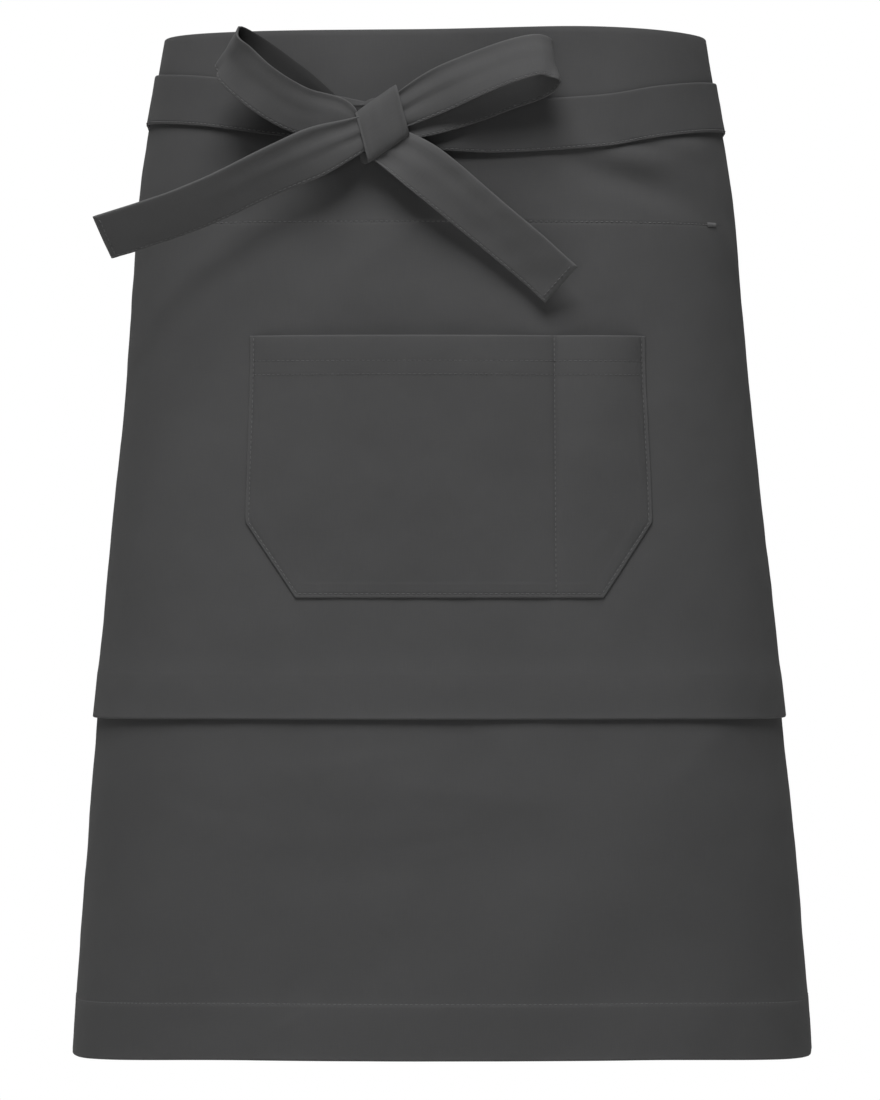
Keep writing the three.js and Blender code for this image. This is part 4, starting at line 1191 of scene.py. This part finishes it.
class BowPlane:
    """The plane of the front cloth behind the bow, and places in front of it."""

    def __init__(self, skirt, layers, bow):
        self.skirt = skirt
        self.middle = -bow.knot_drop
        self.left = bow.knot_left
        low = self.middle - bow.core_height * 0.6
        self.plane = float(skirt.front_depth(low)) + layers.front_face

    def at(self, dx, dz, stand):
        dx, dz, stand = np.broadcast_arrays(dx, dz, stand)
        return np.stack([dx - self.left, -self.plane - stand, self.middle + dz], axis=-1)

    def ribbon(self, dx, dz, stand):
        """A place of a loop or tail, which stands out from the front of the skirt at its own level."""
        fall = self.skirt.front_depth(self.middle + dz) - self.skirt.front_depth(self.middle)
        return self.at(dx, dz, stand + fall)


class Ribbon:
    """A strap swept along a route of the bow."""

    def __init__(self, plane, bow, route, reach, step=1.7 * MM, gather=(1, 0)):
        stand = column(route, "stand") * bow.knot_proud
        points = plane.ribbon(column(route, "across") * reach, column(route, "up") * reach, stand)
        attitude = np.stack([column(route, "turn"), column(route, "lean"), column(route, "width")], axis=-1)
        dense = np.linspace(0, len(route) - 1, 60 * len(route))
        curve = smooth_path(points, dense)
        run = np.concatenate([[0], np.cumsum(np.linalg.norm(np.diff(curve, axis=0), axis=1))])
        self.length = float(run[-1])
        count = round(self.length / step)
        self.run = np.linspace(0, self.length, count + 1)
        places = np.interp(self.run, run, dense)
        self.centre = smooth_path(points, places)
        turn, lean, width = smooth_path(attitude, places, centripetal=False).T
        self.width = width * bow.strap
        turn, lean = np.radians(turn), np.radians(lean)
        tangent = np.gradient(self.centre, axis=0)
        self.tangent = tangent / np.linalg.norm(tangent, axis=1, keepdims=True)
        breadth = np.stack([np.sin(turn) * np.cos(lean), -np.sin(lean), np.cos(turn) * np.cos(lean)], axis=-1)
        breadth -= self.tangent * np.sum(breadth * self.tangent, axis=1, keepdims=True)
        self.breadth = breadth / np.linalg.norm(breadth, axis=1, keepdims=True)
        normal = np.cross(self.tangent, self.breadth)
        self.normal = normal / np.linalg.norm(normal, axis=1, keepdims=True)
        start, end = gather
        self.gather = start * np.exp(-self.run / (17 * MM)) + end * np.exp((self.run - self.length) / (17 * MM))
        near, far = self.run / (24 * MM), (self.length - self.run) / (24 * MM)
        self.crease = start * near * np.exp(1 - near) + end * far * np.exp(1 - far)
        self.crease *= -np.sign(self.normal[-1, 1])

    def at(self, across, out, seed):
        """Points of the ribbon: across is a share of its width from its middle and out a distance from its
        middle plane. Near the knot the strap is gathered into pleats: cosines across it that die away, with
        creases that are deepest a little past the knot, and it cups a little all along."""
        share = np.asarray(across, float)
        pleats = 0.75 * MM * np.cos(share * 15 + seed * 0.4) + 0.3 * MM * np.cos(share * 29 + seed)
        cup = 0.5 * MM * (4 * share**2 - 0.35)
        wave = 0.35 * MM * soft_noise(self.run[:, None], share * 30 * MM, 45 * MM, 30 + seed, 2)
        upper = smoothstep(-0.35, 0.35, share)
        depth = (0.45, 0.6, 0.85, 0.3)[seed] * MM
        creases = depth * upper * np.cos(share * 15.7 - 0.78 + (seed - 2) * 0.9) * self.crease[:, None]
        offset = out + creases + self.gather[:, None] * pleats + (1 - self.gather[:, None]) * (cup + wave)
        return (
            self.centre[:, None]
            + self.breadth[:, None] * (share * self.width[:, None])[..., None]
            + self.normal[:, None] * offset[..., None]
        )


class APRON_OT_bow(bpy.types.Operator):
    """Bow: two loops and two tails of strap that come out of the knot"""

    bl_idname = "apron.bow"
    bl_label = "Bow"

    def execute(self, context):
        skirt, layers, scene = built(context)
        bow, cloth = scene.apron_bow, scene.apron_cloth
        material = twill_material("bow_cloth", cloth.bow, cloth)
        plane = BowPlane(skirt, layers, bow)
        stitched = []
        # inside is painted shade on a ribbon's inner face: its size is how dark and its sign which face; the left
        # loop's inner face is painted fully dark and the right loop's a little, where shadow falls inside the loops.
        for name, route, reach, gather, held, hem, inside in (
            ("loop_left", LOOP_LEFT_ROUTE, bow.loop_left, (1, 1), "folded", 0, -1),
            ("loop_right", LOOP_RIGHT_ROUTE, bow.loop_right, (1, 1), "folded", 0, 0.08),
            ("tail_left", TAIL_LEFT_ROUTE, bow.tail_left, (1, 0), "hung", bow.end_hem, 0),
            ("tail_right", TAIL_RIGHT_ROUTE, bow.tail_right, (1, 0), "hung", bow.end_hem, 0),
        ):
            seed = len(stitched)
            ribbon = Ribbon(plane, bow, route, reach, gather=gather)
            share, height = strap_section(bow.strap, bow.thickness, bow.edge_stitch)
            end = ribbon.length - ribbon.run
            hem_line = smoothstep(hem + 0.8 * MM, hem - 0.5 * MM, end) if hem else np.zeros_like(end)
            thicker = 1 + 0.4 * hem_line
            tip = np.sqrt(np.clip(1 - (1 - np.clip(end / (0.9 * MM), 0, 1)) ** 2, 0, 1)) if hem else 1
            thicker = (thicker * (0.35 + 0.65 * tip))[:, None]
            across = np.concatenate([share, share[::-1]])[None, :]
            out = np.concatenate([height, -height[::-1]])[None, :] * thicker
            loops = ribbon.at(across, out, seed)
            flat = np.stack(np.broadcast_arrays(ribbon.run[:, None], across * bow.strap), axis=-1)
            wear = np.exp(-(0.5 - np.abs(across)) * bow.strap / (1.2 * MM)) * np.ones((len(end), 1))
            if hem:
                wear = np.maximum(wear, np.exp(-end / (1.2 * MM))[:, None])
            # Painted shade on the inner face of the loops, where shadow falls inside them.
            shade = abs(inside) * (out * inside > 0) * np.ones((len(end), 1))
            piece = cloth_wall(f"{name}_ribbon", loops, flat, len(share), 0, material, wear, shade)
            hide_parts(name)
            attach(piece, BODY)
            stitched.append(self.stitching(ribbon, bow, cloth, seed, hem))
        rows = [row for group in stitched for row in group]
        stitches = stitches_object("bow_stitching", rows, bpy.data.materials["thread"])
        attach(stitches, BODY)
        return {"FINISHED"}

    @staticmethod
    def stitching(ribbon, bow, cloth, seed, hem):
        """Stitches on both faces along the ribbon's stitched edge, and across the hem of a free end."""
        rows = []
        line = -0.5 + bow.edge_stitch / bow.strap
        inside = ribbon.run > 12 * MM
        if hem == 0:
            inside &= ribbon.run < ribbon.length - 12 * MM
        for sense in (1, -1):
            out = sense * bow.thickness * 0.4
            path = ribbon.at(np.full((1, 1), line), out, seed)[inside, 0]
            rows.append(stitch_row(path, ribbon.normal[inside] * sense, cloth))
            if hem:
                step = int(np.argmin(np.abs(ribbon.length - ribbon.run - hem)))
                shares = np.linspace(-0.42, 0.42, 24)[None, :]
                across = ribbon.at(shares, sense * bow.thickness * 0.7, seed)[step]
                normals = np.broadcast_to(ribbon.normal[step] * sense, across.shape)
                rows.append(stitch_row(across, normals, cloth, size=0.55 * MM))
        return rows


def winding(plane, dx, dz, width, height, inner, outer, breadth_turn, height_turn, share, angle, grow):
    """Places on a wound strap: an oval round its height and depth, cos^0.72 and sin^0.72, drawn out along its
    breadth. share runs from -1 to 1 along the breadth, angle round the oval, grow moves it out."""
    breadth = (math.cos(breadth_turn), math.sin(breadth_turn))
    upright = (-math.sin(height_turn), math.cos(height_turn))
    rounded = lambda value: np.sign(value) * np.abs(value) ** 0.72
    size = 1 - 0.03 * np.abs(share) ** 6
    high = (height / 2 * size + grow) * rounded(np.cos(angle))
    deep = ((outer - inner) / 2 * size + grow) * rounded(np.sin(angle))
    wide = share * width / 2
    x = dx + wide * breadth[0] + high * upright[0]
    z = dz + wide * breadth[1] + high * upright[1]
    return plane.at(x, z, (inner + outer) / 2 + deep)


class APRON_OT_knot(bpy.types.Operator):
    """Knot: a strap wound once over the bow's middle, and the first half of the knot behind it"""

    bl_idname = "apron.knot"
    bl_label = "Knot"

    def execute(self, context):
        skirt, layers, scene = built(context)
        bow, cloth = scene.apron_bow, scene.apron_cloth
        plane = BowPlane(skirt, layers, bow)
        inner = bow.knot_proud - bow.knot_depth
        self.band(plane, bow, cloth, inner)
        self.core(plane, bow, scene.apron_panels.clearance, inner)
        return {"FINISHED"}

    @staticmethod
    def band(plane, bow, cloth, inner):
        """The band is a strap's section carried once round an oval."""
        share, height = strap_section(bow.knot_width, bow.thickness, bow.edge_stitch)
        across = np.concatenate([share, share[::-1]])[None, :]
        out = np.concatenate([height, -height[::-1]])[None, :] - bow.thickness / 2
        angle = np.linspace(0, 2 * math.pi, 97)[:-1, None]
        front = np.clip(np.sin(angle), 0, 1)
        pleats = front * (0.55 * MM * np.cos(across * 9.5 + 0.6) + 0.3 * MM * np.cos(across * 23 + angle))
        loops = winding(
            plane, 0, 0, bow.knot_width, bow.knot_height, inner, bow.knot_proud,
            math.radians(35), math.radians(15), across * 2, angle, out + pleats,
        )
        steps, around = loops.shape[:2]
        index = np.arange(steps * around).reshape(steps, around)
        ahead, following = np.roll(index, -1, axis=0), np.roll(index, -1, axis=1)
        both = np.roll(ahead, -1, axis=1)
        quads = np.stack([index, ahead, both, following], axis=-1).reshape(-1, 4)
        points = loops.reshape(-1, 3)
        if not outward(points, quads):
            quads = quads[:, ::-1]
        perimeter = 2 * (bow.knot_height + bow.knot_depth) * 0.87
        flat = np.stack(np.broadcast_arrays(angle / (2 * math.pi) * perimeter, across * bow.strap), axis=-1)
        wear = np.exp(-(0.5 - np.abs(across)) * bow.strap / (1.2 * MM)) * np.ones((steps, 1))
        material = bpy.data.materials["bow_cloth"]
        # Painted shade: the knot's cloth is darkened a little, as it faces the light more squarely than the loops and
        # tails.
        shade = np.full(len(points), 0.08)
        piece = new_mesh_object("knot_band", points, [quads], material, flat.reshape(-1, 2), wear.ravel(), shade)
        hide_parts("knot")
        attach(piece, BODY)

    @staticmethod
    def core(plane, bow, clearance, inner):
        """The core is a closed oval cushion of wound strap, with creases where the turns cross."""
        share = np.linspace(-1, 1, 41)[:, None]
        angle = np.linspace(0, 2 * math.pi, 73)[:-1][None, :]
        end = np.clip(1 - np.abs(share) ** 5, 0, 1) ** 0.35
        creases = 0.5 * MM * np.cos(share * 7 + 2 * np.sin(angle)) * end
        shrink = (end - 1) * (inner - 2 * clearance) / 2
        loops = winding(
            plane, -bow.knot_width * 0.11, -bow.knot_height * 0.08, bow.core_width, bow.core_height,
            clearance, inner - clearance, math.radians(20), math.radians(12), share, angle, shrink + creases,
        )
        steps, around = loops.shape[:2]
        index = np.arange(steps * around).reshape(steps, around)
        following = np.roll(index, -1, axis=1)
        quads = np.stack([index[:-1], index[1:], following[1:], following[:-1]], axis=-1).reshape(-1, 4)
        points = loops.reshape(-1, 3)
        middles = np.stack([loops[0].mean(axis=0), loops[-1].mean(axis=0)])
        total = len(points)
        points = np.concatenate([points, middles])
        fans = np.concatenate(
            [
                np.stack([index[0], following[0], np.full(around, total)], axis=-1),
                np.stack([following[-1], index[-1], np.full(around, total + 1)], axis=-1),
            ]
        )
        if not outward(points, quads):
            quads, fans = quads[:, ::-1], fans[:, ::-1]
        flat = np.stack(np.broadcast_arrays(share * bow.core_width / 2, angle * 12 * MM), axis=-1)
        flat = np.concatenate([flat.reshape(-1, 2), np.zeros((2, 2))])
        material = bpy.data.materials["tie_cloth"]
        piece = new_mesh_object("knot_turns", points, [quads, fans], material, flat)
        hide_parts("knot_core")
        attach(piece, BODY)


class APRON_OT_stitching(bpy.types.Operator):
    """Stitching: the seam under the bow with its bar tacks, the pocket's stitching and the hem's"""

    bl_idname = "apron.stitching"
    bl_label = "Stitching"

    def execute(self, context):
        skirt, layers, scene = built(context)
        sizes, cloth = scene.apron_panels, scene.apron_cloth
        thread = bpy.data.materials["thread"]
        reach = np.linspace(-sizes.seam_reach, sizes.seam_reach, 400)
        face = layers.front_face - 0.2 * MM
        rows = [surface_row(skirt, reach, skirt.seam, face, cloth, size=0.6 * MM, length=2.7 * MM)]
        for side in (-1, 1):
            middle = side * (sizes.seam_reach - 3 * MM)
            rows += bartack(skirt, middle, skirt.seam, layers.front_face + 0.1 * MM, 8 * MM, cloth)
        self.add("seam_stitching", rows, thread, "twill")
        hem_top = skirt.bottom + sizes.hem
        swing = float(lower_swing(skirt, sizes, hem_top))
        wide = np.linspace(-skirt.half_panel + 2 * MM, skirt.half_panel - 2 * MM, 900)
        rows = [
            surface_row(skirt, wide, hem_top, swing + layers.lower_face - 0.02 * MM, cloth),
            surface_row(skirt, wide[::-1], hem_top - 1.2 * MM, swing - sizes.cloth * 1.02, cloth),
        ]
        self.add("hem_stitching", rows, thread, "twill_lower")
        self.add("pocket_stitching", self.pocket_rows(skirt, layers, scene), thread, "twill_pocket")
        return {"FINISHED"}

    @staticmethod
    def add(name, rows, thread, slot):
        piece = stitches_object(name, rows, thread)
        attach(piece, BODY)

    @staticmethod
    def pocket_rows(skirt, layers, scene):
        """Rows round the sewn edges, two along the mouth's hem and one down the divider."""
        shape = PocketShape(skirt, layers, scene)
        sizes, cloth = shape.sizes, scene.apron_cloth
        stitch = sizes.edge_stitch
        slope = math.hypot(sizes.corner_width, sizes.corner_height)
        corner_start = sizes.depth - sizes.corner_height + stitch * (slope - sizes.corner_height) / slope
        corner_inset = sizes.corner_width + stitch * (slope - sizes.corner_width) / slope
        bottom = sizes.depth - stitch

        def flare(depth):
            return sizes.inset * (1 - smoothstep(0, sizes.depth * 0.8, depth))

        def row(around, depth, **options):
            face = shape.face(around, depth) - 0.05 * MM
            return surface_row(skirt, around, shape.mouth - depth, face, cloth, **options)

        rows = []
        side = np.linspace(1 * MM, corner_start, 120)
        cut = np.linspace(0, 1, 60)
        for edge, sense in ((shape.left, 1), (shape.right_edge, -1)):
            rows.append(row(edge + sense * (stitch + flare(side)), side))
            cut_around = edge + sense * (stitch + (corner_inset - stitch) * cut)
            rows.append(row(cut_around, corner_start + (bottom - corner_start) * cut))
        base = np.linspace(shape.left + corner_inset, shape.right_edge - corner_inset, 200)
        rows.append(row(base, np.full_like(base, bottom)))
        for line in (sizes.hem, sizes.hem_upper):
            left = shape.left + float(flare(line)) + stitch
            right = shape.right_edge - float(flare(line)) - stitch
            mouth = np.linspace(left, right, 240)
            rows.append(row(mouth, np.full_like(mouth, line), size=0.36 * MM))
        down = np.linspace(1 * MM, bottom, 160)
        rows.append(row(np.full_like(down, shape.divider), down))
        return rows


class APRON_OT_stage(bpy.types.Operator):
    """Floor, soft studio light and the camera at the photograph's angle"""

    bl_idname = "apron.stage"
    bl_label = "Stage"

    def execute(self, context):
        stage = context.scene.apron_stage
        self.camera(context.scene, stage)
        self.light(context.scene, stage)
        turn = np.linspace(0, 2 * math.pi, 129)[:-1]
        rim = np.stack([np.cos(turn), np.sin(turn), np.zeros(128)], axis=-1) * stage.floor_reach
        points = np.concatenate([rim, [[0, 0, 0]]]) + (0, 0, stage.floor)
        fan = np.stack([np.arange(128), np.roll(np.arange(128), -1), np.full(128, 128)], axis=-1)
        material = plain_material("floor_paint", stage.floor_colour, 0.7)
        floor = new_mesh_object("floor", points, [fan], material, smooth=False)
        return {"FINISHED"}

    @staticmethod
    def camera(scene, stage):
        """The lens shows the photograph's whole height at the distance of the apron's front."""
        data = bpy.data.cameras.new("camera")
        data.sensor_fit = "AUTO"
        data.sensor_width = 36
        data.lens = 36 * stage.camera_distance / (FRAME_PIXELS[1] * PIXEL)
        camera = bpy.data.objects.new("camera", data)
        x = (FRAME_PIXELS[0] / 2 - ORIGIN_PIXEL[0]) * PIXEL
        z = (ORIGIN_PIXEL[1] - FRAME_PIXELS[1] / 2) * PIXEL
        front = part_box("front_panel")[0][1]
        camera.location = (x, front - stage.camera_distance, z)
        camera.rotation_euler = (math.pi / 2, 0, 0)
        scene.collection.objects.link(camera)
        scene.camera = camera

    @staticmethod
    def light(scene, stage):
        """Faint light from all round before a white background, and large soft lights in front and behind."""
        world = bpy.data.worlds.new("studio")
        shader = Shader(world, "Background")
        seen = shader.node("ShaderNodeLightPath", {}, {})
        shader.put(shader.surface.inputs["Strength"], seen * (1 - stage.sky) + stage.sky)
        shader.surface.inputs["Color"].default_value = (1, 1, 1, 1)
        scene.world = world
        scene.view_settings.view_transform = "Standard"
        for name, place, size, power in (
            ("front_light", (-0.2, -1.7, 2.6), 1.8, stage.key),
            ("low_light", (-0.8, -5.4, -0.3), 1.6, stage.key * 0.16),
            ("back_light", (0.0, 3.6, 1.6), 1.0, stage.key * 0.5),
        ):
            data = bpy.data.lights.new(name, "AREA")
            data.shape = "DISK"
            data.size = size
            data.energy = power
            lamp = bpy.data.objects.new(name, data)
            lamp.location = place
            aim = np.array((0, 0, -0.25)) - np.array(place)
            lamp.rotation_euler = (
                math.acos(-aim[2] / np.linalg.norm(aim)),
                0,
                math.atan2(aim[1], aim[0]) - math.pi / 2,
            )
            scene.collection.objects.link(lamp)


class APRON_OT_thread(bpy.types.Operator):
    """Thread: the material of all the stitching"""

    bl_idname = "apron.thread"
    bl_label = "Thread"

    def execute(self, context):
        cloth = context.scene.apron_cloth
        thread_material("thread", cloth.thread, cloth)
        return {"FINISHED"}


class APRON_PT_sidebar(bpy.types.Panel):
    """Buttons for the apron's pieces, with their sizes and colours"""

    bl_label = "Waist Apron"
    bl_idname = "APRON_PT_sidebar"
    bl_space_type = "VIEW_3D"
    bl_region_type = "UI"
    bl_category = "Apron"

    def draw(self, context):
        layout = self.layout
        for operator in OPERATORS:
            layout.operator(operator.bl_idname)
        for pointer, group in SETTINGS.items():
            box = layout.box()
            box.label(text=group.__doc__)
            for name in group.__annotations__:
                box.prop(getattr(context.scene, pointer), name)


SETTINGS = {
    "apron_panels": ApronPanelSizes,
    "apron_pocket": ApronPocketSizes,
    "apron_bow": ApronBowSizes,
    "apron_cloth": ApronCloth,
    "apron_stage": ApronStage,
}
OPERATORS = (
    APRON_OT_thread,
    APRON_OT_front_panel,
    APRON_OT_lower_panel,
    APRON_OT_pocket,
    APRON_OT_ties,
    APRON_OT_bow,
    APRON_OT_knot,
    APRON_OT_stitching,
    APRON_OT_stage,
)


def register():
    for group in SETTINGS.values():
        bpy.utils.register_class(group)
    for operator in OPERATORS:
        bpy.utils.register_class(operator)
    bpy.utils.register_class(APRON_PT_sidebar)
    for pointer, group in SETTINGS.items():
        setattr(bpy.types.Scene, pointer, PointerProperty(type=group))


def unregister():
    for pointer in SETTINGS:
        delattr(bpy.types.Scene, pointer)
    bpy.utils.unregister_class(APRON_PT_sidebar)
    for operator in reversed(OPERATORS):
        bpy.utils.unregister_class(operator)
    for group in reversed(SETTINGS.values()):
        bpy.utils.unregister_class(group)


def main():
    """Builds every piece in order."""
    register()
    bpy.ops.apron.thread()
    bpy.ops.apron.front_panel()
    bpy.ops.apron.lower_panel()
    bpy.ops.apron.pocket()
    bpy.ops.apron.ties()
    bpy.ops.apron.bow()
    bpy.ops.apron.knot()
    bpy.ops.apron.stitching()
    bpy.ops.apron.stage()
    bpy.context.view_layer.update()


if __name__ == "__main__":
    main()
